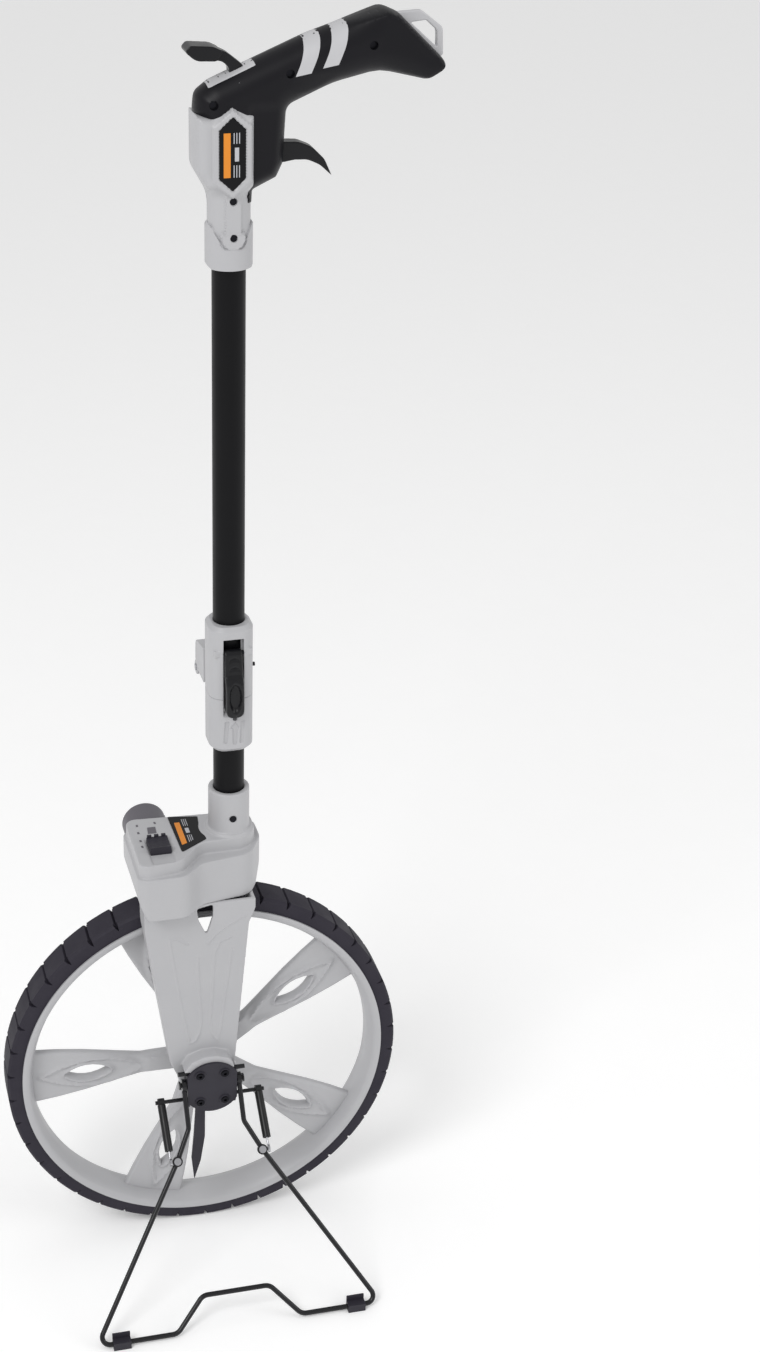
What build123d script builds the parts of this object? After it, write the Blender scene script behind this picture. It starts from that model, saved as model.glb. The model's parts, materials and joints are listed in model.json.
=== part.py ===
"""Folding measuring wheel: one-metre wheel, single-sided arm, counter, folding pole, grip and wire stand.

Millimetres. +Z is up, the axle lies along Y, and the grip reaches out along +X, towards the user.
Everything is drawn about the wheel's centre, then moved so that the origin is the middle of the
whole object's box, on the ground.
"""

import os
from math import atan2, cos, degrees, hypot, pi, radians, sin

from build123d import *

# ---------------------------------------------------------------- driving dimensions: wheel
wheel_circumference = 1000.0
tyre_width = 27.0
tyre_depth = 11.6
tyre_shoulder = 1.8
tread_blocks = 42
tread_groove_width = 3.0
tread_groove_depth = 2.6
shoulder_notch_depth = 6.0
shoulder_notch_length = 4.0
rim_width = 28.0
rim_edge = 5.8
rim_depth = 9.0
rim_rib_width = 8.0
rim_rib_depth = 2.5
spoke_count = 5
spoke_thickness = 12.0
spoke_stem_half = 10.5
spoke_flare_half = 24.0
spoke_hole_radius_place = 93.5
spoke_hole_length = 36.0
spoke_hole_width = 13.0
hub_radius = 19.0
hub_half = 15.0
bearing_outer_radius = 11.0
bearing_width = 7.0
axle_radius = 4.0

# ---------------------------------------------------------------- driving dimensions: drive
pulley_radius = 12.0
pulley_flange = 1.4
pulley_teeth = 24
belt_plane = -23.7
belt_width = 5.4
belt_thickness = 1.5
counter_x = -35.3
counter_z = 198.0
counter_shaft_radius = 2.0
case_radius = 17.0
case_wall = 2.0
case_back = 45.0
drum_radius = 12.5
drum_width = 4.3
drum_pitch = 4.7
drum_count = 5

# ---------------------------------------------------------------- driving dimensions: arm
arm_back = -17.0
arm_face_low = -31.0
arm_face_high = -37.5
arm_wall = 3.0
arm_top = 170.0
top_clearance = 10.845
boss_radius = 24.0
boss_front = -43.0
boss_half_width = 17.2

# ---------------------------------------------------------------- driving dimensions: housing
housing_wall = 2.5
housing_top = 218.0
ledge_top = 207.0
base_thickness = 2.5
neck_radius = 15.7
neck_top = 254.0
neck_flange_radius = 19.0

# ---------------------------------------------------------------- driving dimensions: pole and joint
pole_x = 21.7
pole_y = -6.2
tube_radius = 11.65
tube_wall = 1.35
lower_tube_bottom = 190.0
lower_tube_top = 327.0
upper_tube_bottom = 348.0
upper_tube_top = 725.0
joint_width = 33.0
joint_wall = 6.15
joint_back = 10.5
joint_bottom = 292.0
joint_split = 337.0
joint_top = 395.0
fold_pin_y = 33.0
fold_pin_radius = 2.5
knuckle_radius = 5.5
knuckle_half = 7.3
ear_inner = 7.7
latch_width = 14.4
latch_pin_depth = 2.2
latch_pin_z = 374.5
latch_pin_radius = 1.5

# ---------------------------------------------------------------- driving dimensions: stand
bracket_half_width = 20.0
bracket_plate = 2.0
pivot_y = -40.0
pivot_z = 2.0
pivot_radius = 2.0
wire_radius = 2.0
eyelet_x = 22.4
eyelet_half = 1.7
eyelet_radius = 5.0
foot_y = -146.0
clip_sole = 1.6
leg_bend = 34.0
rivet_s = 58.4
rivet_x = 34.5
corner_x = 114.0
bridge_foot_x = 50.0
bridge_x = 27.0
bridge_rise = 26.0
corner_bend = 6.0
clip_x = 94.5
clip_length = 14.0
peg_y = -34.0
peg_z = -17.0
spring_x = 39.8
plate_radius = 4.1
plate_half = 1.4
rivet_radius = 1.5
rivet_head_radius = 2.9
rivet_head_height = 0.9
stand_travel = 124.0

# ---------------------------------------------------------------- driving dimensions: head and grip
head_half = 19.0
grip_half = 17.0
shell_wall = 2.6
collar_radius = 16.2
collar_bottom = 660.0
collar_step = 688.0
throat_radius = 14.6
throat_top = 716.0
trigger_pin_x = 46.0
trigger_pin_z = 739.0
lever_pin_x = 26.0
lever_pin_z = 782.0
small_pin_radius = 1.5

# ---------------------------------------------------------------- fits
running = 0.05
gap = 0.4

tyre_radius = wheel_circumference / (2 * pi)
seat_radius = tyre_radius - tyre_depth
rim_inner = seat_radius - rim_depth
ground = -tyre_radius
lift = tyre_radius + top_clearance - arm_top
joint_front = pole_y - tube_radius - joint_wall
latch_pin_y = joint_front + latch_pin_depth
latch_shift = joint_front + 24.0


# ---------------------------------------------------------------- helpers
def block(x0, x1, y0, y1, z0, z1):
    """A box from its low and high sides."""
    return Pos((x0 + x1) / 2, (y0 + y1) / 2, (z0 + z1) / 2) * Box(x1 - x0, y1 - y0, z1 - z0)


def rod_x(y, z, radius, x0, x1):
    """A round bar along X."""
    return Pos((x0 + x1) / 2, y, z) * Rot(0, 90, 0) * Cylinder(radius, x1 - x0)


def rod_y(x, z, radius, y0, y1):
    """A round bar along Y."""
    return Pos(x, (y0 + y1) / 2, z) * Rot(90, 0, 0) * Cylinder(radius, y1 - y0)


def rod_z(x, y, radius, z0, z1):
    """A round bar along Z."""
    return Pos(x, y, (z0 + z1) / 2) * Cylinder(radius, z1 - z0)


def rod_between(start, end, radius):
    """A round bar between two points."""
    line = Vector(*end) - Vector(*start)
    plane = Plane(origin=start, z_dir=line)
    return extrude(plane * Circle(radius), amount=line.length)


def outline(points, radii=None):
    """A flat face from corner points, each corner rounded by its own radius."""
    face = make_face(Polyline(*points, close=True))
    if radii is None:
        return face
    for point, radius in zip(points, radii):
        if radius:
            corner = face.vertices().sort_by_distance((point[0], point[1], 0))[0]
            face = fillet(corner, radius)
    return face


def slab_xz(face, y0, y1):
    """Pushes a face drawn in X and Z through from y0 to y1."""
    plane = Plane(origin=(0, y1, 0), x_dir=(1, 0, 0), z_dir=(0, -1, 0))
    return extrude(plane * face, amount=y1 - y0)


def slab_yz(face, x0, x1):
    """Pushes a face drawn in Y and Z through from x0 to x1."""
    plane = Plane(origin=(x0, 0, 0), x_dir=(0, 1, 0), z_dir=(1, 0, 0))
    return extrude(plane * face, amount=x1 - x0)


def slab_xy(face, z0, z1):
    """Pushes a face drawn in X and Y through from z0 to z1."""
    return extrude(Pos(0, 0, z0) * face, amount=z1 - z0)


def group(*solids):
    """Keeps alike pieces as separate solids of one node."""
    return Compound(children=[solid for piece in solids for solid in piece.solids()])


# ---------------------------------------------------------------- wheel
def tyre():
    half = tyre_width / 2
    rib = rim_rib_width / 2
    section = outline(
        [
            (seat_radius, -half),
            (tyre_radius - tyre_shoulder, -half),
            (tyre_radius, tyre_shoulder - half),
            (tyre_radius, half - tyre_shoulder),
            (tyre_radius - tyre_shoulder, half),
            (seat_radius, half),
            (seat_radius, rib),
            (seat_radius - rim_rib_depth, rib),
            (seat_radius - rim_rib_depth, -rib),
            (seat_radius, -rib),
        ]
    )
    ring = revolve(section, Axis.Y)
    top = tyre_radius + 1
    wide = tread_groove_width / 2
    groove = outline([(-wide, top), (0, tyre_radius - tread_groove_depth), (wide, top)])
    notch = outline([(-wide - 0.6, top), (0, tyre_radius - shoulder_notch_depth), (wide + 0.6, top)])
    cutter = slab_xz(groove, -half - 1, half + 1)
    cutter += slab_xz(notch, -half - 1, shoulder_notch_length - half)
    cutter += slab_xz(notch, half - shoulder_notch_length, half + 1)
    step = 360 / tread_blocks
    cutters = [Rot(0, step * index, 0) * cutter for index in range(tread_blocks)]
    return ring - cutters


def spoke():
    """One spoke along +X, with its almond-shaped hole."""
    reach = rim_inner + rim_edge / 2
    stem = spoke_stem_half
    flare = spoke_flare_half
    upper = [(0, stem), (52, stem - 1), (72, stem + 3), (96, flare - 5), (120, flare - 1), (reach, flare)]
    lower = [(x, -z) for x, z in reversed(upper)]
    face = outline(upper + lower)
    blade = slab_xz(face, -spoke_thickness / 2, spoke_thickness / 2)
    half_length = spoke_hole_length / 2
    half_width = spoke_hole_width / 2
    bulge = ThreePointArc((-half_length, 0), (0, half_width), (half_length, 0))
    hollow = ThreePointArc((half_length, 0), (0, -half_width), (-half_length, 0))
    almond = make_face([bulge, hollow])
    cut = slab_xz(Pos(spoke_hole_radius_place, 0) * almond, -spoke_thickness, spoke_thickness)
    return blade - cut


def wheel_rim():
    half = rim_width / 2
    rib = rim_rib_width / 2
    section = outline(
        [
            (seat_radius, -half),
            (seat_radius, -rib),
            (seat_radius - rim_rib_depth, -rib),
            (seat_radius - rim_rib_depth, rib),
            (seat_radius, rib),
            (seat_radius, half),
            (seat_radius - rim_edge, half),
            (rim_inner, half - 8),
            (rim_inner, 8 - half),
            (seat_radius - rim_edge, -half),
        ]
    )
    rim = revolve(section, Axis.Y)
    rim += rod_y(0, 0, hub_radius, -hub_half, hub_half)
    for index in range(spoke_count):
        rim += Rot(0, 36 + 360 / spoke_count * index, 0) * spoke()
    rim -= rod_y(0, 0, bearing_outer_radius, -hub_half, bearing_width - hub_half)
    rim -= rod_y(0, 0, bearing_outer_radius, hub_half - bearing_width, hub_half)
    rim -= rod_y(0, 0, bearing_outer_radius - 2, -hub_half, hub_half)
    return rim


def wheel_bearings():
    near = rod_y(0, 0, bearing_outer_radius, -hub_half, bearing_width - hub_half)
    far = rod_y(0, 0, bearing_outer_radius, hub_half - bearing_width, hub_half)
    bore = rod_y(0, 0, axle_radius + running, -hub_half - 1, hub_half + 1)
    return group(near - bore, far - bore)


def toothed_pulley(bore_radius):
    """A belt pulley about Y, its belt track centred on the belt's plane."""
    low = belt_plane - belt_width / 2 - gap
    high = belt_plane + belt_width / 2 + gap
    body = rod_y(0, 0, pulley_radius, low, high)
    tooth = rod_y(pulley_radius + 0.2, 0, 0.7, low, high)
    body -= [Rot(0, 360 / pulley_teeth * index, 0) * tooth for index in range(pulley_teeth)]
    body += rod_y(0, 0, pulley_radius + pulley_flange, high, high + 1)
    return body - rod_y(0, 0, bore_radius, low - 1, high + 2)


def drive_pulley():
    bore = axle_radius + 3.0
    collar_start = belt_plane + belt_width / 2 + gap + 1
    collar = rod_y(0, 0, pulley_radius + 3, collar_start, -hub_half)
    return toothed_pulley(bore) + (collar - rod_y(0, 0, bore, collar_start - 1, 0))


# ---------------------------------------------------------------- axle and belt
def axle():
    shank = rod_y(0, 0, axle_radius, boss_front + 3, hub_half + 9)
    head = rod_y(0, 0, axle_radius + 3, boss_front + 0.6, boss_front + 3)
    return shank + head


def axle_spacer():
    start = arm_face_low + arm_wall
    tube = rod_y(0, 0, axle_radius + 2.2, start, -hub_half - gap)
    return tube - rod_y(0, 0, axle_radius, start - 1, 0)


def axle_washer():
    start = hub_half + gap
    disc = rod_y(0, 0, 8.5, start, start + 1.6)
    return disc - rod_y(0, 0, axle_radius, start - 1, start + 3)


def axle_nut():
    start = hub_half + gap + 1.6
    plane = Plane(origin=(0, start + 5.5, 0), x_dir=(1, 0, 0), z_dir=(0, -1, 0))
    nut = extrude(plane * RegularPolygon(7.5, 6), amount=5.5)
    return nut - rod_y(0, 0, axle_radius, start - 1, start + 7)


def belt_loop(radius, width):
    """A band round both pulleys, as a solid slot shape of the given radius."""
    height = counter_z + lift
    length = hypot(counter_x, height)
    slot = Rot(0, 0, degrees(atan2(height, counter_x))) * SlotCenterToCenter(length, 2 * radius)
    face = Pos(counter_x / 2, height / 2) * slot
    return slab_xz(face, belt_plane - width / 2, belt_plane + width / 2)


def drive_belt():
    inner = pulley_radius + gap
    return belt_loop(inner + belt_thickness, belt_width) - belt_loop(inner, belt_width + 1)


# ---------------------------------------------------------------- arm
def arm_outline(inset):
    """The arm seen from the front, straight-sided, wider at its top."""
    points = [
        (-51 + inset, arm_top + 5 + lift),
        (-50.5 + inset, 150 + lift),
        (-31 + inset, 18),
        (-20 + inset, -8),
        (20 - inset, -8),
        (22 - inset, 20),
        (31 - inset, 148 + lift),
        (36 - inset, 161 + lift),
        (36 - inset, arm_top + 5 + lift),
    ]
    return outline(points, [0, 30, 10, 0, 0, 10, 14, 6, 0])


def arm_profile(inset):
    """The arm seen from the side: the front face leans out towards the housing."""
    front_low = arm_face_low + inset
    front_high = arm_face_high + inset
    points = [
        (arm_back, -40),
        (front_low, -40),
        (front_low, 20),
        (front_high, 150 + lift),
        (front_high, arm_top + lift),
        (arm_back, arm_top + lift),
    ]
    return outline(points)


def arm():
    body = slab_xz(arm_outline(0), -60, arm_back) + rod_y(0, 0, boss_radius, -60, arm_back)
    body &= slab_yz(arm_profile(0), -80, 80)
    boss = rod_y(0, 0, boss_radius, boss_front, arm_face_low)
    boss &= block(-boss_half_width, boss_half_width, -60, 0, -60, 60)
    cavity = slab_xz(arm_outline(arm_wall), -60, arm_back + 1)
    cavity += rod_y(0, 0, boss_radius - arm_wall, -60, arm_back + 1)
    cavity &= slab_yz(arm_profile(arm_wall), -80, 80) + block(-80, 80, arm_back - 1, arm_back + 1, -40, arm_top + lift)
    body = body + boss - cavity
    body -= rod_y(0, 0, axle_radius, -60, 0)
    body -= rod_y(0, 0, axle_radius + 3, -60, boss_front + 3)
    body -= rod_x(boss_front + 3.2, 13, 1.8, -40, 40)
    window = outline([(-10, 166), (3, 168.5), (2.5, 158), (-2.5, 141), (-8.5, 155)], [2, 2, 3, 1, 3])
    return body - slab_xz(Pos(0, lift) * window, -60, arm_back + 1)


def pointer():
    blade = outline([(-9.5, -18), (-2.5, -18), (-3, -62), (-6.5, -86), (-12, -105), (-14, -84), (-12, -60)])
    return slab_xz(blade, arm_face_low + 2.5, arm_face_low + 5) - rod_y(0, 0, boss_radius, -60, 0)


# ---------------------------------------------------------------- stand and its bracket
def stand_bracket():
    back = boss_front
    front = boss_front - bracket_plate
    plate = rod_y(0, 0, boss_radius - 0.5, front, back)
    plate &= block(-bracket_half_width, bracket_half_width, front, back, -40, 40)
    ear_face = outline([(front, 12), (back + 7, 12), (-31.3, 4), (-31.3, -22), (-39, -22), (front, -8)], [1, 3, 2, 3, 3, 4])
    ear = slab_yz(ear_face, boss_half_width + 0.1, bracket_half_width)
    bracket = plate + ear + mirror(ear, about=Plane.YZ)
    bracket -= rod_x(boss_front + 3.2, 13, 1.8, -40, 40)
    bracket -= rod_x(pivot_y, pivot_z, pivot_radius, -40, 40)
    bracket -= rod_x(peg_y, peg_z, 1.6, -40, 40)
    for x, z in screw_places():
        bracket -= rod_y(x, z, 1.5, front - 1, back + 1)
    return bracket


def screw_places():
    return [(x, z) for x in (-10.0, 10.0) for z in (-13.0, 13.0)]


def bracket_screws():
    """Heads on the plate, each with a short socket and a shank that ends in the plate."""
    front = boss_front - bracket_plate
    screws = []
    for x, z in screw_places():
        head = rod_y(x, z, 2.9, front - 1.9, front)
        shank = rod_y(x, z, 1.5, front, boss_front)
        screws.append(head + shank - rod_y(x, z, 1.3, front - 3, front - 0.6))
    return group(*screws)


def stop_rod():
    return rod_x(boss_front + 3.2, 13, 1.8, -27, 27)


def stand_pivot_pins():
    def pin(side):
        shank = rod_x(pivot_y, pivot_z, pivot_radius, side * 17.3, side * 25.2)
        return shank + rod_x(pivot_y, pivot_z, 3.4, side * 25.0, side * 26.4)

    return group(pin(1), mirror(pin(1), about=Plane.YZ))


def spring_pegs():
    start = boss_half_width + 0.1
    peg = rod_x(peg_y, peg_z, 1.6, start, spring_x + 4.6)
    return group(peg, mirror(peg, about=Plane.YZ))


wire_floor_z = ground + clip_sole + wire_radius
leg_length = hypot(foot_y - pivot_y, wire_floor_z - pivot_z)
leg_down = ((foot_y - pivot_y) / leg_length, (wire_floor_z - pivot_z) / leg_length)


def leg_point(x, s):
    """A point of the stand's plane: x across and s down from the pivot axis."""
    return (x, pivot_y + leg_down[0] * s, pivot_z + leg_down[1] * s)


def rivet_rod(side, radius, low, high):
    """A round bar square to the stand's plane, through one leg's rivet hole."""
    x, y, z = leg_point(side * rivet_x, rivet_s)
    start = (x, y + leg_down[1] * low, z - leg_down[0] * low)
    end = (x, y + leg_down[1] * high, z - leg_down[0] * high)
    return rod_between(start, end, radius)


def stand_wire():
    right = [
        (eyelet_x, 4.0),
        (eyelet_x, leg_bend),
        (rivet_x, rivet_s),
        (corner_x, leg_length),
        (bridge_foot_x, leg_length),
        (bridge_x, leg_length - bridge_rise),
    ]
    route = [leg_point(x, s) for x, s in right] + [leg_point(-x, s) for x, s in reversed(right)]
    radii = [8, 8, corner_bend, 9, 9, 9, 9, corner_bend, 8, 8]
    path = FilletPolyline(*route, radius=radii)
    wire = sweep(Plane(origin=path @ 0, z_dir=path % 0) * Circle(wire_radius), path=path)
    for side in (-1, 1):
        wire += rod_x(pivot_y, pivot_z, eyelet_radius, side * eyelet_x - eyelet_half, side * eyelet_x + eyelet_half)
        wire += rivet_rod(side, plate_radius, -plate_half, plate_half)
        wire -= rivet_rod(side, plate_radius + 1, plate_half, 2 * wire_radius)
        wire -= rivet_rod(side, plate_radius + 1, -2 * wire_radius, -plate_half)
        wire -= rivet_rod(side, rivet_radius, -2 * wire_radius, 2 * wire_radius)
    for side in (-1, 1):
        wire -= rod_x(pivot_y, pivot_z, pivot_radius + running, side * eyelet_x - 4, side * eyelet_x + 4)
    return wire


def wire_rivets():
    """A headed rivet through each leg's flattened plate."""

    def rivet(side):
        front = plate_half + rivet_head_height
        body = rivet_rod(side, rivet_radius, -plate_half, plate_half)
        return body + rivet_rod(side, rivet_head_radius, plate_half, front) + rivet_rod(side, 2.2, -front, -plate_half)

    return group(rivet(-1), rivet(1))


def foot_clips():
    def clip(side):
        x0 = side * clip_x - clip_length / 2
        x1 = side * clip_x + clip_length / 2
        body = block(x0, x1, foot_y - 4, foot_y + 4, ground, wire_floor_z + 3.4)
        body += block(x0, x1, foot_y + 2.4, foot_y + 4, ground, wire_floor_z + 7.5)
        return body - rod_x(foot_y, wire_floor_z, wire_radius, x0 - 1, x1 + 1)

    return group(clip(-1), clip(1))


rest_spring = (leg_point(0, rivet_s)[1] - peg_y, leg_point(0, rivet_s)[2] - peg_z)
rest_spring_length = hypot(*rest_spring)
spring_down = (rest_spring[0] / rest_spring_length, rest_spring[1] / rest_spring_length)


def spring_point(x, s):
    """A point on a spring's centre line, s along it from its peg."""
    return (x, peg_y + spring_down[0] * s, peg_z + spring_down[1] * s)


def spring_sleeves():
    def sleeve(side):
        x = side * spring_x
        body = rod_between(spring_point(x, 2.4), spring_point(x, rest_spring_length - 9), 3.3)
        body += rod_x(peg_y, peg_z, 3.4, x - 2.6, x + 2.6)
        body -= rod_between(spring_point(x, 7), spring_point(x, rest_spring_length), 2.3)
        return body - rod_x(peg_y, peg_z, 1.6 + running, x - 8, x + 8)

    return group(sleeve(-1), sleeve(1))


def spring_hooks():
    def hook(side):
        x = side * spring_x
        stem = rod_between(spring_point(x, 10), spring_point(x, rest_spring_length - 2.2), 0.9)
        centre = spring_point(x, rest_spring_length)
        eye = rod_x(centre[1], centre[2], 3.0, x - 0.8, x + 0.8)
        return stem + eye - rod_x(centre[1], centre[2], 1.3, x - 3, x + 3)

    return group(hook(-1), hook(1))


# ---------------------------------------------------------------- counter housing
def lower_outline():
    points = [(-57, -53), (-21, -53), (-6, -38), (33, -32), (46, -8), (46, 21), (-57, 21)]
    return outline(points, [8, 14, 16, 16, 18, 12, 9])


def upper_outline():
    points = [(-55, -51.5), (-23, -47), (-4, -25), (30, -25), (41, -12), (41, 13), (-55, 19)]
    face = outline(points, [7, 12, 14, 12, 12, 12, 8])
    return face + Pos(pole_x, pole_y) * Circle(neck_flange_radius)


def housing_profile(inset):
    """The housing seen from the front: its lower corners curve in."""
    bottom = arm_top - 1
    left = -58 + inset
    right = 47 - inset
    points = [(left, 240), (left, 194), (left + 3, 181), (left + 9, bottom), (right - 7, bottom), (right, 190), (right, 240)]
    return outline(points, [0, 12, 12, 0, 0, 12, 0])


def housing_solid(inset):
    lower = offset(lower_outline(), amount=-inset) if inset else lower_outline()
    upper = offset(upper_outline(), amount=-inset) if inset else upper_outline()
    body = slab_xy(lower, arm_top, ledge_top - inset)
    body += slab_xy(upper, arm_top, housing_top - inset)
    return body & slab_xz(housing_profile(inset), -80, 60)


def neck():
    body = rod_z(pole_x, pole_y, neck_radius, housing_top - 1, neck_top)
    body += rod_z(pole_x, pole_y, neck_radius + 2, housing_top - 1, housing_top + 2)
    body += rod_z(pole_x, pole_y, tube_radius + housing_wall, lower_tube_bottom - 3, housing_top - 1)
    return body


def housing():
    body = housing_solid(0) - housing_solid(housing_wall) + neck()
    body -= rod_z(pole_x, pole_y, tube_radius, lower_tube_bottom, neck_top + 1)
    body -= rod_z(pole_x, pole_y, 8, 180, 200)
    body -= rod_y(counter_x, counter_z, case_radius, 10, 60)
    body -= selector_channel()
    body -= housing_badge()
    return body - housing_screws()


def selector_channel():
    return block(-45, -27.5, -47.5, -12, housing_top - 1.2, housing_top + 1)


def housing_base():
    plate = offset(lower_outline(), amount=-housing_wall - 0.1)
    body = slab_xy(plate, arm_top, arm_top + base_thickness)
    body &= slab_xz(housing_profile(housing_wall + 0.6), -80, 60)
    body -= block(counter_x - 13, counter_x + 32, belt_plane - 5, belt_plane + 5, 160, 180)
    body -= rod_z(pole_x, pole_y, 3 + running, 160, 180)
    return body - housing_screws()


def housing_screws():
    """One screw through the neck into the lower tube, and three up into the base plate."""
    near = pole_y - neck_radius
    neck_screw = rod_y(pole_x, 233, 2.6, near - 0.2, near + 1.2) + rod_y(pole_x, 233, 1.4, near + 1.2, near + 7)
    screws = [neck_screw]
    for x, y in ((-43, 12), (38, 10), (-46, -44)):
        screws.append(rod_z(x, y, 2.6, arm_top - 1.2, arm_top) + rod_z(x, y, 1.4, arm_top, arm_top + base_thickness))
    return group(*screws)


def housing_badge():
    points = [(-21.8, 16), (1, 11.8), (-1, -3), (1.2, -21), (-20.5, -35.6)]
    plate = slab_xy(outline(points, [1, 1, 0, 1, 1]), housing_top - 0.6, housing_top + 0.2)
    return plate - rod_z(pole_x, pole_y, neck_flange_radius + 4.4, 200, 240)


def selector_slider():
    foot = block(-44.2, -28.2, -34, -15, housing_top - 1.2 + 0.15, housing_top + 0.4)
    pad_face = outline([(-34, 218.4), (-15, 218.4), (-16.5, 222.4), (-21, 221.2), (-28, 221.2), (-33, 222.8)])
    pad = slab_yz(pad_face, -44.2, -28.2)
    return foot + pad


def counter_case():
    body = rod_y(counter_x, counter_z, case_radius, 12, case_back)
    body -= rod_y(counter_x, counter_z, case_radius - case_wall, 11, case_back - case_wall)
    body -= rod_y(counter_x, counter_z, counter_shaft_radius + running, 11, case_back - 0.6)
    return body - window_wedge()


def window_wedge():
    """The opening in the counter barrel on the user's side, past the housing's back wall."""
    low = radians(-32)
    high = radians(20)
    reach = case_radius + 6
    mouth = outline([(0, 0), (reach * cos(low), reach * sin(low)), (reach, 0), (reach * cos(high), reach * sin(high))])
    wedge = slab_xz(Pos(counter_x, counter_z) * mouth, 23.5, case_back - 3)
    return wedge - rod_y(counter_x, counter_z, case_radius - case_wall, 0, 60)


def counter_lens():
    lens = rod_y(counter_x, counter_z, case_radius + 0.3, 23.5, case_back - 3)
    return lens & window_wedge()


def counter_frame():
    """The bracket that stands on the base plate and carries the counter shaft's near end."""
    foot_top = arm_top + base_thickness
    plate = block(counter_x - 10.5, counter_x + 13, -15, -12, foot_top, counter_z + 8)
    foot = block(counter_x - 10.5, counter_x + 13, -12, -4, foot_top, foot_top + 2)
    bush = rod_y(counter_x, counter_z, 5, -18, -12)
    return plate + foot + bush - rod_y(counter_x, counter_z, counter_shaft_radius + running, -30, 0)


def counter_shaft():
    return rod_y(counter_x, counter_z, counter_shaft_radius, belt_plane - 4.5, case_back - 1)


def counter_pulley():
    return Pos(counter_x, 0, counter_z) * toothed_pulley(counter_shaft_radius)


def digit_drum(index):
    """Drum 1 turns with the shaft and shows tenths; the others run free on the shaft."""
    back = case_back - case_wall - 0.3 - drum_pitch * index
    bore = counter_shaft_radius if index == 0 else counter_shaft_radius + running
    drum = rod_y(counter_x, counter_z, drum_radius, back - drum_width, back)
    return drum - rod_y(counter_x, counter_z, bore, 0, 60)


def brake_shoe():
    top = arm_top - 1.6 + lift
    shoe = block(pole_x - 11, pole_x + 11, pole_y - 8, pole_y + 8, tyre_radius - 1, top)
    shoe -= rod_y(0, 0, tyre_radius + 5.5, -40, 40)
    return shoe + rod_z(pole_x, pole_y, 3, top - 1, top + 15.6)


def brake_pad():
    pad = block(pole_x - 10, pole_x + 10, pole_y - 7, pole_y + 7, tyre_radius - 6, arm_top + lift)
    return (pad & rod_y(0, 0, tyre_radius + 5.5, -40, 40)) - rod_y(0, 0, tyre_radius + 3.5, -40, 40)


# ---------------------------------------------------------------- pole and fold joint
def lower_tube():
    tube = rod_z(pole_x, pole_y, tube_radius, lower_tube_bottom, lower_tube_top)
    tube -= rod_z(pole_x, pole_y, tube_radius - tube_wall, 100, 400)
    return tube - housing_screws()


def upper_tube():
    tube = rod_z(pole_x, pole_y, tube_radius, upper_tube_bottom, upper_tube_top)
    tube -= rod_z(pole_x, pole_y, tube_radius - tube_wall, 300, 800)
    return tube - joint_cross_pin() - head_screws()


def joint_block(z0, z1):
    """The joint's body between two heights: a rounded bar round the pole."""
    half = joint_width / 2
    face = Pos(pole_x, (joint_front + joint_back) / 2) * RectangleRounded(2 * half, joint_back - joint_front, 12)
    return slab_xy(face, z0, z1)


def latch_recess():
    half = latch_width / 2 + gap
    face = outline([(-40, 322), (-24.5, 322), (-20.0, 326), (-20.0, 352), (-17.9, 358), (-17.9, 386), (-40, 386)])
    return slab_yz(Pos(latch_shift, 0) * face, pole_x - half, pole_x + half)


def joint_lower():
    body = chamfer(joint_block(joint_bottom, joint_split).edges().group_by(Axis.Z)[0], 3.5)
    knuckle_face = outline([(8, 312), (20, 322), (33, 331.5), (33, joint_split), (8, joint_split)])
    knuckle = slab_yz(knuckle_face, pole_x - knuckle_half, pole_x + knuckle_half)
    knuckle += rod_x(fold_pin_y, joint_split, knuckle_radius, pole_x - knuckle_half, pole_x + knuckle_half)
    body += knuckle
    body -= rod_z(pole_x, pole_y, tube_radius, joint_bottom - 1, lower_tube_top)
    body -= rod_z(pole_x, pole_y, 6, joint_bottom, joint_split + 1)
    body -= rod_x(fold_pin_y, joint_split, fold_pin_radius, pole_x - 20, pole_x + 20)
    return body - latch_recess()


def joint_upper():
    body = chamfer(joint_block(joint_split + 0.1, joint_top).edges().group_by(Axis.Z)[-1], 3)
    ear_face = outline([(6, joint_split + 0.4), (33, joint_split + 0.4), (36, 344), (35, 360), (6, 366)], [0, 0, 3, 6, 0])
    for side in (-1, 1):
        inner = pole_x + side * ear_inner
        outer = pole_x + side * joint_width / 2
        ear = slab_yz(ear_face, min(inner, outer), max(inner, outer))
        ear += rod_x(fold_pin_y, joint_split, knuckle_radius, min(inner, outer), max(inner, outer))
        body += ear
    body -= rod_z(pole_x, pole_y, tube_radius, upper_tube_bottom, joint_top + 1)
    body -= rod_z(pole_x, pole_y, 6, joint_split - 1, joint_top)
    body -= rod_x(fold_pin_y, joint_split, fold_pin_radius + running, pole_x - 20, pole_x + 20)
    body -= rod_x(latch_pin_y, latch_pin_z, latch_pin_radius, pole_x - 12, pole_x + 12)
    return body - latch_recess() - joint_cross_pin()


def fold_pin():
    return rod_x(fold_pin_y, joint_split, fold_pin_radius, pole_x - joint_width / 2 - 0.8, pole_x + joint_width / 2 + 0.8)


def joint_cross_pin():
    return rod_x(-12.5, 359, 1.5, pole_x - 15, pole_x + joint_width / 2 + 1.6)


def latch_pin():
    return rod_x(latch_pin_y, latch_pin_z, latch_pin_radius, pole_x - 12, pole_x + 12)


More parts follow.
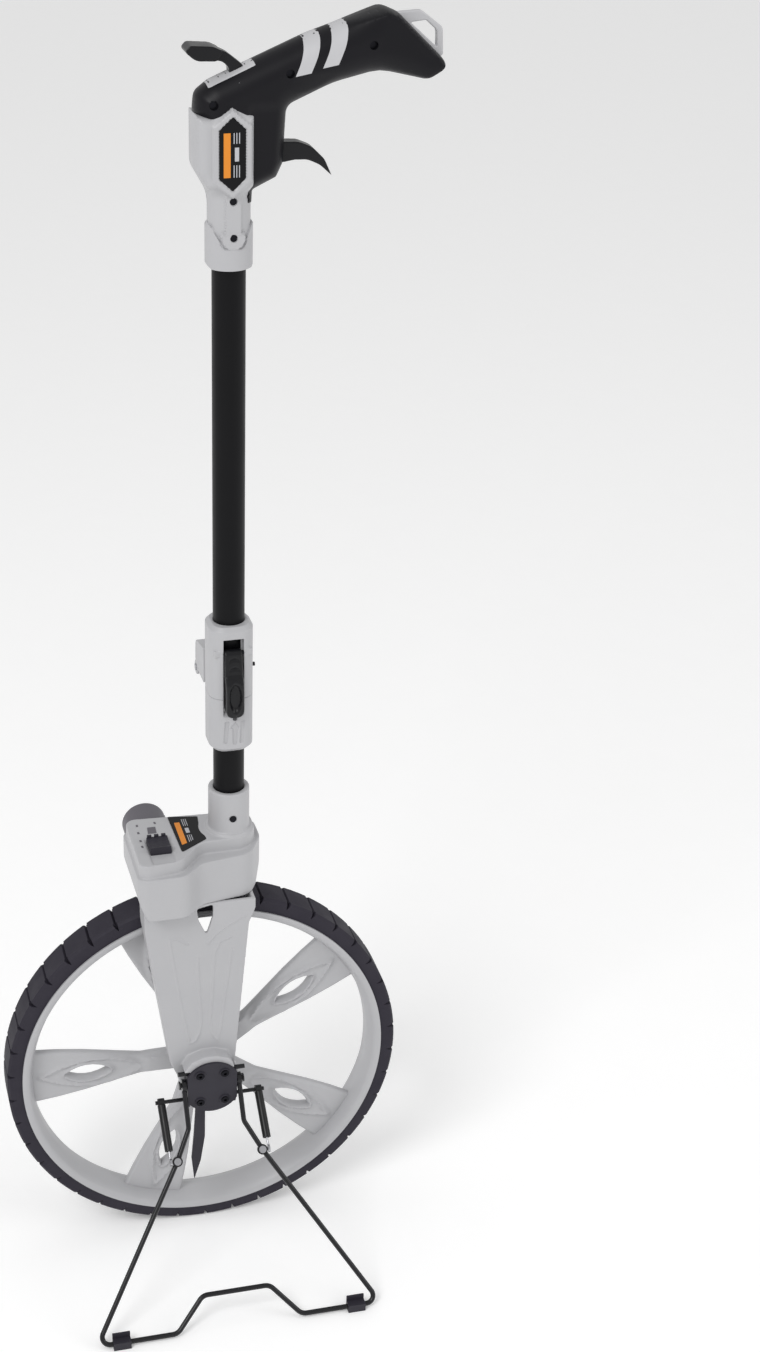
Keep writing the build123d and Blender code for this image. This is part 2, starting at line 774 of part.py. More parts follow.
def latch_lever():
    half = latch_width / 2
    points = [
        (-18.3, 375),
        (-19.3, 377),
        (-21.0, 378),
        (-25.6, 378),
        (-27.4, 371),
        (-27.4, 364),
        (-30.4, 355),
        (-31.2, 334),
        (-28.0, 324.5),
        (-25.5, 324.5),
        (-23.6, 330),
        (-23.6, 352),
        (-18.3, 360),
    ]
    face = Pos(latch_shift, 0) * outline(points, [0, 0, 0, 2, 0, 2, 6, 6, 2, 0, 2, 3, 0])
    body = slab_yz(face, pole_x - half, pole_x + half)
    body -= Pos(pole_x, latch_shift - 37.2, 341) * Cylinder(9.0, 24)
    return body - rod_x(latch_pin_y, latch_pin_z, latch_pin_radius + running, pole_x - 12, pole_x + 12)


def cable_run(z0, z1):
    """The brake and the reset cable in their sheaths, side by side inside the tube."""
    brake = rod_z(pole_x - 3, pole_y + 1, 1.5, z0, z1)
    reset = rod_z(pole_x + 3, pole_y + 1, 1.5, z0, z1)
    return brake, reset


def lower_cables():
    return group(*cable_run(186, joint_split))


def upper_cables():
    return group(*cable_run(joint_split + 0.1, upper_tube_top + 8))


# ---------------------------------------------------------------- head and grip
def grip_outline(inset):
    """The dark upper part of the head and the grip, seen from the front."""
    points = [
        (-3, 760),
        (-1.5, 776),
        (8, 783),
        (36.5, 795),
        (73, 810),
        (99, 818),
        (124, 825),
        (133, 821),
        (168, 787),
        (153, 777.5),
        (121, 785),
        (90, 778),
        (59.5, 765),
        (57.5, 728),
        (53, 718.5),
        (37, 711),
        (24, 711),
        (5, 730),
        (-2, 745),
    ]
    radii = [8, 9, 10, 60, 60, 60, 9, 5, 7, 9, 30, 60, 8, 5, 4, 4, 0, 12, 12]
    face = outline(points, radii)
    return offset(face, amount=-inset) if inset else face


def grip_solid(inset):
    """The whole head and grip as one rounded bar, shrunk by inset."""
    half = grip_half - inset
    face = grip_outline(inset)
    body = slab_xz(face, pole_y - half + 6, pole_y + half - 6)
    for shrink, reach in ((0.7, 4.2), (1.8, 2.6), (3.4, 1.1), (6.0, 0.0)):
        body += slab_xz(grip_outline(inset + shrink), pole_y - half + reach, pole_y + half - reach)
    return body


def head_body(inset):
    """The white lower head: a flat-faced box that narrows to the round throat and collar."""
    half = head_half - inset
    points = [(-2 + inset, 766), (-2 + inset, 727), (6 + inset, 708), (36 - inset, 708), (36 - inset, 766)]
    box = slab_xz(outline(points, [0, 14, 0, 0, 0]), pole_y - half, pole_y + half)
    edges = box.edges().filter_by(Axis.Z)
    body = fillet(edges, 7 - inset)
    body += rod_z(pole_x, pole_y, throat_radius - inset, collar_step - 1, throat_top + 10)
    return body + rod_z(pole_x, pole_y, collar_radius - inset, collar_bottom, collar_step)


def white_region():
    """The stretch of the head that is white, seen from the front."""
    points = [(-30, 640), (70, 640), (70, 712), (33, 712), (33, 762.5), (20.4, 768.5), (7, 761), (-30, 766)]
    return slab_xz(outline(points), -60, 60)


def head_cavity():
    cavity = grip_solid(shell_wall)
    inner = head_body(shell_wall)
    inner &= block(-60, 80, -60, 60, throat_top, 790)
    return cavity + inner


def head_cuts():
    """Everything that passes through the head's walls."""
    cuts = rod_z(pole_x, pole_y, tube_radius, collar_bottom - 1, upper_tube_top)
    cuts += block(52, 64, pole_y - 5.6, pole_y + 5.6, 723, 752)
    cuts += block(6, 36, pole_y - 5.2, pole_y + 5.2, 776, 800)
    cuts += loop_solid()
    cuts += lever_bezel()
    cuts += head_badge_solid(1.0)
    return cuts


def head_shells():
    """Four shells: white and dark, near and far, all hollow, meeting on the pole's middle plane."""
    whole = grip_solid(0) + head_body(0) + hex_frame()
    shell = whole - head_cavity() - head_cuts()
    shell -= head_screws()
    shell -= head_pins()
    white = shell & white_region()
    dark = shell - white_region() - grip_stripes()
    near = block(-80, 220, -60, pole_y, 600, 900)
    far = block(-80, 220, pole_y, 60, 600, 900)
    return {
        "head_shell_near": white & near,
        "head_shell_far": white & far,
        "grip_cover_near": dark & near,
        "grip_cover_far": dark & far,
    }


def hex_face(grow):
    points = [(20.2, 764 + grow), (11 - grow, 755), (11 - grow, 723), (20.2, 714 - grow), (29 + grow, 723), (29 + grow, 755)]
    return outline(points)


def hex_frame():
    return slab_xz(hex_face(4), pole_y - head_half - 1.6, pole_y - head_half + 3)


def head_badge_solid(lift):
    return slab_xz(hex_face(0), pole_y - head_half - 1.0 - lift, pole_y - head_half + 0.2)


def head_badge():
    return head_badge_solid(0)


def grip_stripes():
    """Two slanting inlays, each a millimetre deep, over the grip's top and both sides."""
    skin = grip_solid(0) - grip_solid(1.0)
    bands = []
    for shift in (0.0, 17.0):
        band = outline([(66 + shift, 830), (80 + shift, 830), (71 + shift, 790), (61 + shift, 788)])
        bands += (skin & slab_xz(band, -60, 60)).solids()
    return group(*bands)


def loop_solid():
    points = [(122, 806), (128, 820.5), (149, 821.5), (164, 810), (165, 792), (150, 787), (136, 797)]
    plate = slab_xz(outline(points, [2, 3, 5, 5, 2, 2, 2]), pole_y - 2.5, pole_y + 2.5)
    opening = outline([(142, 814), (152.5, 815), (160, 808.3), (160.5, 797.5)], [0, 2, 2, 0])
    return plate - slab_xz(opening, -40, 40)


def lever_bezel():
    face = outline([(7, 780.6), (36, 792.8), (35.2, 796.4), (6.2, 784.2)])
    plate = slab_xz(face, pole_y - 7, pole_y + 7)
    return plate - block(9, 34, pole_y - 5.2, pole_y + 5.2, 770, 810)


def head_screws():
    """Three screws through the grip, and two through the throat and collar into the tube."""
    screws = []
    for x, z in ((8.5, 770), (58.6, 788), (113.6, 803.5)):
        near = pole_y - grip_half + 3.0
        head = rod_y(x, z, 2.6, near, near + 2)
        screws.append(head + rod_y(x, z, 1.4, near + 2, pole_y + grip_half - 4))
    for z, radius in ((706.6, throat_radius), (682.4, collar_radius)):
        near = pole_y - radius
        head = rod_y(pole_x, z, 2.4, near + 0.4, near + 1.8)
        screws.append(head + rod_y(pole_x, z, 1.3, near + 1.8, near + 7.5))
    return group(*screws)


def head_pins():
    half = grip_half - 3
    trigger_pin = rod_y(trigger_pin_x, trigger_pin_z, small_pin_radius, pole_y - half, pole_y + half)
    lever_pin = rod_y(lever_pin_x, lever_pin_z, small_pin_radius, pole_y - half, pole_y + half)
    return group(trigger_pin, lever_pin)


def brake_trigger():
    top = [(44, 743.5), (57, 741.6), (68, 741), (77, 737.2), (85.5, 728.8), (90.7, 717.4)]
    bottom = [(82.4, 725), (74, 729), (65, 729.3), (55, 727.7), (46, 734.5), (41, 739)]
    body = slab_xz(outline(top + bottom, [0, 0, 12, 12, 12, 0, 14, 14, 12, 8, 0, 0]), pole_y - 5, pole_y + 5)
    body += rod_y(trigger_pin_x, trigger_pin_z, 5, pole_y - 5, pole_y + 5)
    return body - rod_y(trigger_pin_x, trigger_pin_z, small_pin_radius + running, -40, 40)


def reset_lever():
    points = [
        (-8.6, 803),
        (-5, 806.8),
        (10, 805.6),
        (20, 800.6),
        (31, 792),
        (30.5, 782),
        (21.5, 782),
        (21, 791.5),
        (16, 795.6),
        (-1.5, 796.8),
    ]
    body = slab_xz(outline(points, [2, 3, 12, 14, 6, 3, 3, 5, 8, 10]), pole_y - 4.6, pole_y + 4.6)
    paddle = outline([(-8.6, 803), (-5, 806.8), (10, 805.6), (17, 802.2), (12, 796.2), (-1.5, 796.8)], [2, 3, 12, 2, 2, 10])
    body += slab_xz(paddle, pole_y - 8.5, pole_y + 8.5)
    body += rod_y(lever_pin_x, lever_pin_z, 4, pole_y - 4.6, pole_y + 4.6)
    return body - rod_y(lever_pin_x, lever_pin_z, small_pin_radius + running, -40, 40)


# ---------------------------------------------------------------- the whole object
low_nodes = (
    "tyre wheel_rim wheel_bearings drive_pulley axle axle_spacer axle_washer axle_nut drive_belt arm pointer "
    "stand_bracket bracket_screws stop_rod stand_pivot_pins spring_pegs stand_wire wire_rivets foot_clips "
    "spring_sleeves spring_hooks brake_shoe brake_pad"
).split()


def all_nodes():
    nodes = {
        "tyre": tyre(),
        "wheel_rim": wheel_rim(),
        "wheel_bearings": wheel_bearings(),
        "drive_pulley": drive_pulley(),
        "axle": axle(),
        "axle_spacer": axle_spacer(),
        "axle_washer": axle_washer(),
        "axle_nut": axle_nut(),
        "drive_belt": drive_belt(),
        "arm": arm(),
        "pointer": pointer(),
        "stand_bracket": stand_bracket(),
        "bracket_screws": bracket_screws(),
        "stop_rod": stop_rod(),
        "stand_pivot_pins": stand_pivot_pins(),
        "spring_pegs": spring_pegs(),
        "stand_wire": stand_wire(),
        "wire_rivets": wire_rivets(),
        "foot_clips": foot_clips(),
        "spring_sleeves": spring_sleeves(),
        "spring_hooks": spring_hooks(),
        "housing": housing(),
        "housing_base": housing_base(),
        "housing_screws": housing_screws(),
        "housing_badge": housing_badge(),
        "selector_slider": selector_slider(),
        "counter_case": counter_case(),
        "counter_lens": counter_lens(),
        "counter_frame": counter_frame(),
        "counter_shaft": counter_shaft(),
        "counter_pulley": counter_pulley(),
        "brake_shoe": brake_shoe(),
        "brake_pad": brake_pad(),
        "lower_tube": lower_tube(),
        "lower_cables": lower_cables(),
        "joint_lower": joint_lower(),
        "fold_pin": fold_pin(),
        "joint_upper": joint_upper(),
        "joint_cross_pin": joint_cross_pin(),
        "latch_pin": latch_pin(),
        "latch_lever": latch_lever(),
        "upper_tube": upper_tube(),
        "upper_cables": upper_cables(),
        "head_badge": head_badge(),
        "grip_stripes": grip_stripes(),
        "hanging_loop": loop_solid(),
        "lever_bezel": lever_bezel(),
        "head_screws": head_screws(),
        "head_pins": head_pins(),
        "brake_trigger": brake_trigger(),
        "reset_lever": reset_lever(),
    }
    for index in range(drum_count):
        nodes[f"digit_drum_{index + 1}"] = digit_drum(index)
    nodes.update(head_shells())
    return {name: node if name in low_nodes else Pos(0, 0, lift) * node for name, node in nodes.items()}


def main():
    os.makedirs("parts", exist_ok=True)
    nodes = all_nodes()
    box = Compound(children=[Compound(children=node.solids()) for node in nodes.values()]).bounding_box()
    shift = Pos(-(box.min.X + box.max.X) / 2, -(box.min.Y + box.max.Y) / 2, -box.min.Z)
    print("wheel centre at", shift.position)
    for name, node in nodes.items():
        export_step(shift * Compound(children=node.solids()), os.path.join("parts", name + ".step"))


main()
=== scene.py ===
# %% [markdown]
# # A folding measuring wheel
# The wheel is one metre round. It runs on a single arm that carries a mechanical counter, a folding
# pole and a pistol grip, and a sprung wire stand holds it up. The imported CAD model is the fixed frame
# that everything here is built on, so it is loaded first and measured before anything is added.

# %% Load the frame
import json
from math import cos, hypot, pi, radians, sin

import bmesh
import bpy
from mathutils import Matrix, Vector

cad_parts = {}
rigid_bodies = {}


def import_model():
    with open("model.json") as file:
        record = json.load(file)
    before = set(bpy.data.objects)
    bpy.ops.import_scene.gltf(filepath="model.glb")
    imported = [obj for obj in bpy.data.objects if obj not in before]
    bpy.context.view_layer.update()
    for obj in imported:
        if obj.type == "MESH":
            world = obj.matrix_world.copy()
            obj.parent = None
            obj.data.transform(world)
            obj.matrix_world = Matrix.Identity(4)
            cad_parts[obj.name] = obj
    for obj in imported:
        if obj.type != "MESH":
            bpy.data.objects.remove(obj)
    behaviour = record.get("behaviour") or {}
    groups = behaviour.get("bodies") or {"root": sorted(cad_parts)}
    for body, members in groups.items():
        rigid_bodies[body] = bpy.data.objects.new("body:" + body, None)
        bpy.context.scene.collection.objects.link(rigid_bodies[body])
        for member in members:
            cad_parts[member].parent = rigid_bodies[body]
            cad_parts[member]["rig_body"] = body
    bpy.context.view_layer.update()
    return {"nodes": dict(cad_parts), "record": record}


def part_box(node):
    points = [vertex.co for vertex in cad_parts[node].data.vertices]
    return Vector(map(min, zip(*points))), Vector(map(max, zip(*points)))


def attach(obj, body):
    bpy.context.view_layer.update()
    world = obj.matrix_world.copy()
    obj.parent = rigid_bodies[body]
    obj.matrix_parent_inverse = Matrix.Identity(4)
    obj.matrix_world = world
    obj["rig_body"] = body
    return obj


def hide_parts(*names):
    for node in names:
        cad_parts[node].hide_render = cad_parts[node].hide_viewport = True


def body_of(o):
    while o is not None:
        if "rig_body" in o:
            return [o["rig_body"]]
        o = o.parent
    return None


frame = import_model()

nodes = frame["nodes"]

# %% [markdown]
# Sizes on such an object are read in millimetres about the wheel's centre, while Blender works in
# metres from the ground. The rim node gives the centre, because the wheel is symmetrical, and one
# small function turns a workshop point into a Blender one.

# %% Find the wheel's centre
MM = 0.001
rim_low, rim_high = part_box("wheel_rim")
hub = (rim_low + rim_high) / 2


def at(x, y, z):
    """A point in metres from millimetres about the wheel's centre."""
    return Vector((x, y, z)) * MM + hub


print("wheel centre", [round(v, 4) for v in hub])

# %% [markdown]
# The camera comes before the looks, because every later choice is judged through it. It stands
# a little to the left and well above the wheel, at about a person's eye height, looking down 28
# degrees. The lens is a little longer than normal, and a small sideways shift gives the framing.

# %% Place the camera
camera = bpy.data.objects.new("camera", bpy.data.cameras.new("camera"))
bpy.context.scene.collection.objects.link(camera)
bpy.context.scene.camera = camera
camera.location = at(-287.7, -1399.3, 1104.0)
camera.rotation_euler = (radians(90 - 27.93), 0, radians(-12.52))
camera.data.sensor_width = 36
camera.data.lens = 58.3
camera.data.shift_x = 0.112
camera.data.clip_end = 20
bpy.context.scene.view_settings.view_transform = "Standard"
print("camera at", [round(v, 3) for v in camera.location])

# %% [markdown]
# Paint and plastic colours are usually written as sRGB hex codes, but Blender's shaders add light
# and so need linear values. One function does that change for every colour in this file.


# %% Turn hex colours to linear
def linear(code):
    """A hex colour as linear RGBA."""
    parts = [int(code[i : i + 2], 16) / 255 for i in (0, 2, 4)]
    return [c / 12.92 if c < 0.04045 else ((c + 0.055) / 1.055) ** 2.4 for c in parts] + [1]


# %% [markdown]
# Shaders are small graphs. Every node here is made by the same short function: it makes the node,
# applies its settings, then fills each input with a value or a link.


# %% Add one shader node
def add_node(material, kind, inputs=None, **settings):
    node = material.node_tree.nodes.new(kind)
    for name, value in settings.items():
        setattr(node, name, value)
    for name, value in (inputs or {}).items():
        if isinstance(value, bpy.types.NodeSocket):
            material.node_tree.links.new(value, node.inputs[name])
        else:
            node.inputs[name].default_value = value
    return node


# %% [markdown]
# Nearly every finish on this object is a moulded, coated or drawn surface with the same three kinds
# of unevenness: a slow drift of tone, a fine grain from the mould's spark-eroded face, and patches
# that are a little more or less rubbed. So one function lays these down at real sizes in
# millimetres, and each material then gives its own values. Object coordinates are used because each
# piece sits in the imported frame, so that the grain keeps its size on every part.


# %% Make a surface finish
def surface(name, tone, dark_tone, rough, rub, grain_mm, grain_depth_mm, drift_mm=45, **shader):
    """A material with drifting tone, rubbed patches and a fine moulded grain.

    rough is the mean roughness and rub how far patches stray from it; the rest are sizes in millimetres.
    """
    material = bpy.data.materials.new(name)
    material.use_nodes = True
    bsdf = material.node_tree.nodes["Principled BSDF"]
    place = add_node(material, "ShaderNodeTexCoord").outputs["Object"]
    drift_look = {"Vector": place, "Scale": 1000 / drift_mm, "Detail": 4.0}
    drift = add_node(material, "ShaderNodeTexNoise", drift_look)
    tint = add_node(material, "ShaderNodeMix", {"Factor": drift.outputs["Fac"]}, data_type="RGBA")
    # a Mix node has sockets of the same name for each data type, so the colour ones are set by place
    tint.inputs[6].default_value = linear(dark_tone)
    tint.inputs[7].default_value = linear(tone)
    spot_look = {"Vector": place, "Scale": 2600 / drift_mm, "Detail": 3.0}
    spots = add_node(material, "ShaderNodeTexNoise", spot_look)
    noise_range = {"From Min": 0.3, "From Max": 0.7, "To Min": rough - rub, "To Max": rough + rub}
    spread = add_node(material, "ShaderNodeMapRange", {"Value": spots.outputs["Fac"], **noise_range})
    grain_look = {"Vector": place, "Scale": 1000 / grain_mm, "Detail": 2.0}
    grain = add_node(material, "ShaderNodeTexNoise", grain_look)
    relief_mm = {"Distance": grain_depth_mm * MM, "Strength": 1.0}
    bump = add_node(material, "ShaderNodeBump", {"Height": grain.outputs["Fac"], **relief_mm})
    links = material.node_tree.links
    links.new(tint.outputs[2], bsdf.inputs["Base Color"])
    links.new(spread.outputs["Result"], bsdf.inputs["Roughness"])
    links.new(bump.outputs["Normal"], bsdf.inputs["Normal"])
    for socket, value in shader.items():
        bsdf.inputs[socket.replace("_", " ")].default_value = value
    return material


# %% [markdown]
# The white parts are ABS, injection moulded in a lightly spark-eroded tool: a soft satin skin, very
# slightly cool, with a broad highlight. ABS has an IOR of about 1.54.

# %% Moulded white ABS
moulded_abs = surface("moulded_white_abs", "b5b5b7", "aeaeb1", 0.42, 0.04, 0.9, 0.012, IOR=1.54)
print("made", moulded_abs.name)

# %% [markdown]
# The tyre is moulded rubber, dark with a violet cast and almost matt, because the mould's face is
# rough and the rubber blooms. The grain is coarser and deeper than on the plastic.

# %% Moulded tyre rubber
tyre_rubber = surface(
    "moulded_tyre_rubber", "2e2b35", "25222c", 0.68, 0.08, 1.6, 0.08,
    IOR=1.5, Specular_IOR_Level=0.3,
)
print("made", tyre_rubber.name)

# %% [markdown]
# The grip and the upper head are over-moulded with a soft-touch elastomer. Its fine grain scatters
# the studio light into a wide grey bloom, so the roughness is middling and the specular level low.

# %% Soft-touch elastomer, over-moulded
soft_touch = surface(
    "overmoulded_soft_touch", "131217", "0d0d11", 0.42, 0.05, 0.8, 0.02,
    IOR=1.48, Specular_IOR_Level=0.22,
)
print("made", soft_touch.name)

# %% [markdown]
# The bracket, the pointer, the slider and the foot clips are glass-filled nylon, moulded dark grey.
# Glass fibre near the skin leaves it dull and a little mottled. The latch, the trigger and the
# reset lever are unfilled nylon, which comes out of the mould with a gloss.

# %% Moulded nylons
filled_nylon = surface(
    "moulded_filled_nylon", "2f2d36", "27252d", 0.5, 0.07, 1.2, 0.03,
    IOR=1.53, Specular_IOR_Level=0.3,
)
gloss_nylon = surface(
    "moulded_gloss_nylon", "151518", "101013", 0.3, 0.04, 1.5, 0.008,
    IOR=1.53, Specular_IOR_Level=0.25,
)
grey_abs = surface("moulded_grey_abs", "625f66", "58565c", 0.5, 0.05, 1.0, 0.02, IOR=1.54)
print("made", filled_nylon.name, gloss_nylon.name, grey_abs.name)

# %% [markdown]
# The pole is steel tube with a satin black powder coat. Powder flows as it bakes and leaves a gentle
# orange peel about three millimetres across. The stand's wire is dipped in black enamel, glossier
# and smoother. The vinyl sleeves over the springs are softer and duller.

# %% Coated steel and vinyl
powder_coat = surface(
    "powder_coated_steel", "0c0c0f", "09090b", 0.4, 0.04, 3.0, 0.03,
    IOR=1.5, Specular_IOR_Level=0.15,
)
enamelled_wire = surface(
    "enamelled_steel_wire", "1b1b1e", "141417", 0.26, 0.05, 2.0, 0.01,
    IOR=1.52, Specular_IOR_Level=0.35,
)
vinyl_sleeve = surface(
    "extruded_vinyl_sleeve", "151517", "101012", 0.36, 0.06, 1.5, 0.02,
    IOR=1.52, Specular_IOR_Level=0.35,
)
belt_rubber = surface("moulded_belt_rubber", "1e1e20", "171719", 0.75, 0.06, 1.0, 0.04, IOR=1.5)
print("made", powder_coat.name, enamelled_wire.name, vinyl_sleeve.name, belt_rubber.name)

# %% [markdown]
# Bare metal parts are zinc plated or ground steel. Metal keeps the shader's default IOR, because
# its colour already gives the reflection. Turned parts show fine rings, so the grain is small.

# %% Plated, ground and blackened steel
zinc_plate = surface("zinc_plated_steel", "c3c3c7", "b0b0b4", 0.28, 0.06, 0.7, 0.01, Metallic=1.0)
ground_steel = surface("ground_bearing_steel", "b4b5b8", "9fa0a4", 0.22, 0.05, 0.5, 0.006, Metallic=1.0)
black_oxide = surface("black_oxide_steel", "2a2a2e", "1f1f23", 0.4, 0.06, 0.8, 0.015, Metallic=1.0)
print("made", zinc_plate.name, ground_steel.name, black_oxide.name)

# %% [markdown]
# The pale inlays, the hanging loop and the lever's bezel are moulded ABS in a light grey, a little
# darker than the body. The badges are printed foil under a clear gloss lacquer.

# %% Inlay, badge, drum and window
pale_inlay = surface("moulded_pale_abs", "bfbfc1", "b7b7ba", 0.45, 0.05, 0.9, 0.012, IOR=1.54)
badge_foil = surface(
    "lacquered_badge_foil", "0d0d10", "0a0a0c", 0.2, 0.03, 6.0, 0.004,
    IOR=1.5, Specular_IOR_Level=0.2,
)
drum_plastic = surface("moulded_drum_acetal", "222225", "1b1b1e", 0.5, 0.05, 1.0, 0.01, IOR=1.48)
clear_window = surface(
    "moulded_clear_acrylic", "f2f5f6", "eceff0", 0.06, 0.02, 9.0, 0.002, IOR=1.49, Transmission_Weight=1.0
)
print("made", pale_inlay.name, badge_foil.name, drum_plastic.name, clear_window.name)

# %% [markdown]
# Each CAD node already carries the name of its finish in the record. A table from those names to the
# materials dresses every node, so that no piece is left with the CAD's flat colour.

# %% Dress the CAD nodes
finish_of_slot = {
    "white_plastic": moulded_abs,
    "tyre_rubber": tyre_rubber,
    "bearing_steel": ground_steel,
    "zinc_steel": zinc_plate,
    "dark_plastic": filled_nylon,
    "black_plastic": gloss_nylon,
    "black_rubber": soft_touch,
    "belt_rubber": belt_rubber,
    "black_screw": black_oxide,
    "black_wire": enamelled_wire,
    "black_sleeve": vinyl_sleeve,
    "badge_black": badge_foil,
    "grey_plastic": grey_abs,
    "clear_window": clear_window,
    "black_tube": powder_coat,
    "grey_inlay": pale_inlay,
    "drum_plastic": drum_plastic,
}
for subpart in frame["record"]["subparts"]:
    node = nodes[subpart["node"]]
    node.data.materials.clear()
    node.data.materials.append(finish_of_slot[subpart["material_slot"]])
print("dressed", len(nodes), "nodes")

# %% [markdown]
# Pieces made here join the scene through one function, so that each has its mesh, its name and its
# finish in one line.


# %% Put a mesh into the scene
def new_object(name, mesh, material=None):
    """Puts a mesh into the scene, dressed in one material."""
    thing = bpy.data.objects.new(name, mesh)
    bpy.context.scene.collection.objects.link(thing)
    if material:
        mesh.materials.append(material)
    return thing


print("ready to add pieces")

# %% [markdown]
# The moulded parts have no flat sheets or simple blocks: their faces swell, dip and carry ribs. Such a
# part is like a relief in a coin. Its outline is drawn flat, the inside is filled with fine triangles,
# and a height function then lifts each point. First come the outline tools: rounded corners, evenly
# spaced points, and the distance from any point to an outline.

# %% Draw rounded outlines
import numpy as np
from mathutils.geometry import delaunay_2d_cdt


def rounded(points, radii, turn=9):
    """A closed outline in millimetres, each corner an arc of its own radius."""
    out = []
    count = len(points)
    for i, (point, radius) in enumerate(zip(points, radii)):
        here = Vector(point)
        back = (Vector(points[i - 1]) - here).normalized()
        ahead = (Vector(points[(i + 1) % count]) - here).normalized()
        bend = pi - back.angle(ahead)
        if radius == 0 or bend < radians(1):
            out.append(tuple(here))
            continue
        reach = radius * abs(sin(bend / 2) / cos(bend / 2))
        start, end = here + back * reach, here + ahead * reach
        steps = max(2, int(bend / radians(turn)))
        for k in range(steps + 1):
            t = k / steps
            out.append(tuple(start * (1 - t) ** 2 + here * 2 * t * (1 - t) + end * t * t))
    return out


def spaced(loop, gap):
    """The same outline with points no further apart than gap."""
    out = []
    for a, b in zip(loop, loop[1:] + loop[:1]):
        steps = max(1, round(hypot(b[0] - a[0], b[1] - a[1]) / gap))
        out += [(a[0] + (b[0] - a[0]) * k / steps, a[1] + (b[1] - a[1]) * k / steps) for k in range(steps)]
    return out


def away(points, loop):
    """How far each point is from an outline."""
    p = np.asarray(points, float)[:, None, :]
    a = np.asarray(loop, float)[None, :, :]
    b = np.roll(a, -1, axis=1)
    along = np.clip(((p - a) * (b - a)).sum(2) / np.maximum(((b - a) ** 2).sum(2), 1e-12), 0, 1)
    return np.sqrt((((a + (b - a) * along[:, :, None]) - p) ** 2).sum(2)).min(1)


def within(points, loop):
    """Which points lie inside an outline."""
    p = np.asarray(points, float)
    a = np.asarray(loop, float)
    b = np.roll(a, -1, axis=0)
    x, z = p[:, 0][:, None], p[:, 1][:, None]
    crosses = (a[:, 1] > z) != (b[:, 1] > z)
    slope = (b[:, 0] - a[:, 0]) / np.where(b[:, 1] == a[:, 1], 1e-12, b[:, 1] - a[:, 1])
    return (crosses & (x < a[:, 0] + (z - a[:, 1]) * slope)).sum(1) % 2 == 1


def ease(value, low, high):
    """Rises smoothly from 0 at low to 1 at high."""
    t = np.clip((value - low) / (high - low), 0, 1)
    return t * t * (3 - 2 * t)


def dome(distance, radius):
    """A quarter-round edge: 0 at the outline, 1 from radius inwards."""
    return np.sqrt(np.clip(1 - (1 - np.clip(distance / radius, 0, 1)) ** 2, 0, 1))


print("outline tools ready")

# %% [markdown]
# The inside of the outline is filled by a constrained triangulation, which keeps the outline, its
# holes and any band's edge exact. Rows of points close to each edge, and dotted rings in each screw
# well, put small triangles where the surface will curve most.


# %% Fill an outline with triangles
def beside(loop, insets=(0.25, 0.7, 1.4, 2.4)):
    """Rows of points on both sides of an outline, at some distances from it."""
    a = np.asarray(loop)
    along = np.roll(a, -1, axis=0) - np.roll(a, 1, axis=0)
    length = np.maximum(np.linalg.norm(along, axis=1), 1e-9)
    normal = np.stack([-along[:, 1], along[:, 0]], 1) / length[:, None]
    rows = []
    for inset in insets:
        for side in (-1, 1):
            moved = a + normal * inset * side
            rows += [tuple(q) for q in moved[away(moved, loop) > inset * 0.9]]
    return rows


def filled(loops, gap, pits=()):
    """Points and triangles over the first outline, keeping the edges of every outline given."""
    low, high = np.min(loops[0], axis=0), np.max(loops[0], axis=0)
    row = gap * 0.87
    loose = [
        (low[0] + gap * (i + 0.5 * (j % 2)), low[1] + row * j)
        for j in range(int((high[1] - low[1]) / row) + 1)
        for i in range(int((high[0] - low[0]) / gap) + 1)
    ]
    for loop in loops:
        loose += beside(loop)
    compass = [(cos(t * pi / 12), sin(t * pi / 12)) for t in range(24)]
    for (x, z), radius in pits:
        for share in (0.0, 0.5, 0.8, 0.92, 1.0, 1.12, 1.3):
            loose += [(x + radius * share * east, z + radius * share * north) for east, north in compass]
    loose = np.array(loose)
    keep = within(loose, loops[0])
    for loop in loops:
        keep &= away(loose, loop) > 0.2
    points = [p for loop in loops for p in loop] + [tuple(p) for p in loose[keep]]
    edges, start = [], 0
    for loop in loops:
        edges += [(start + k, start + (k + 1) % len(loop)) for k in range(len(loop))]
        start += len(loop)
    filling = delaunay_2d_cdt([Vector(p) for p in points], edges, [], 0, 1e-5, False)
    return np.array([tuple(v) for v in filling[0]]), np.array(filling[2])


print("filling tools ready")

# %% [markdown]
# A finished mesh needs outward normals, smooth shading with crisp creases, and a place: the moving body it
# rides and the plain CAD nodes it stands for.


# %% Finish and place a piece
def finish_mesh(name, mesh, material, crease=38):
    """Turns a bmesh into a smooth-shaded object; creases sharper than some degrees stay crisp."""
    bmesh.ops.delete(mesh, geom=[v for v in mesh.verts if not v.link_faces], context="VERTS")
    bmesh.ops.recalc_face_normals(mesh, faces=mesh.faces)
    data = bpy.data.meshes.new(name)
    mesh.to_mesh(data)
    mesh.free()
    data.shade_smooth()
    data.set_sharp_from_angle(angle=radians(crease))
    thing = new_object(name, data, material)
    print("made", name, "with", len(data.polygons), "faces")
    return thing


def place_on(thing, body, slot, *stood_for):
    """Lets a piece ride on a body and stand for CAD nodes; slot is not used."""
    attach(thing, body)
    if stood_for:
        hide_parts(*stood_for)
    return thing


print("placing tools ready")

# %% [markdown]
# Now the relief: the triangles are used twice. The front copy is lifted towards -Y and the back copy
# towards +Y, and where the two don't meet at the edge a side wall joins them.


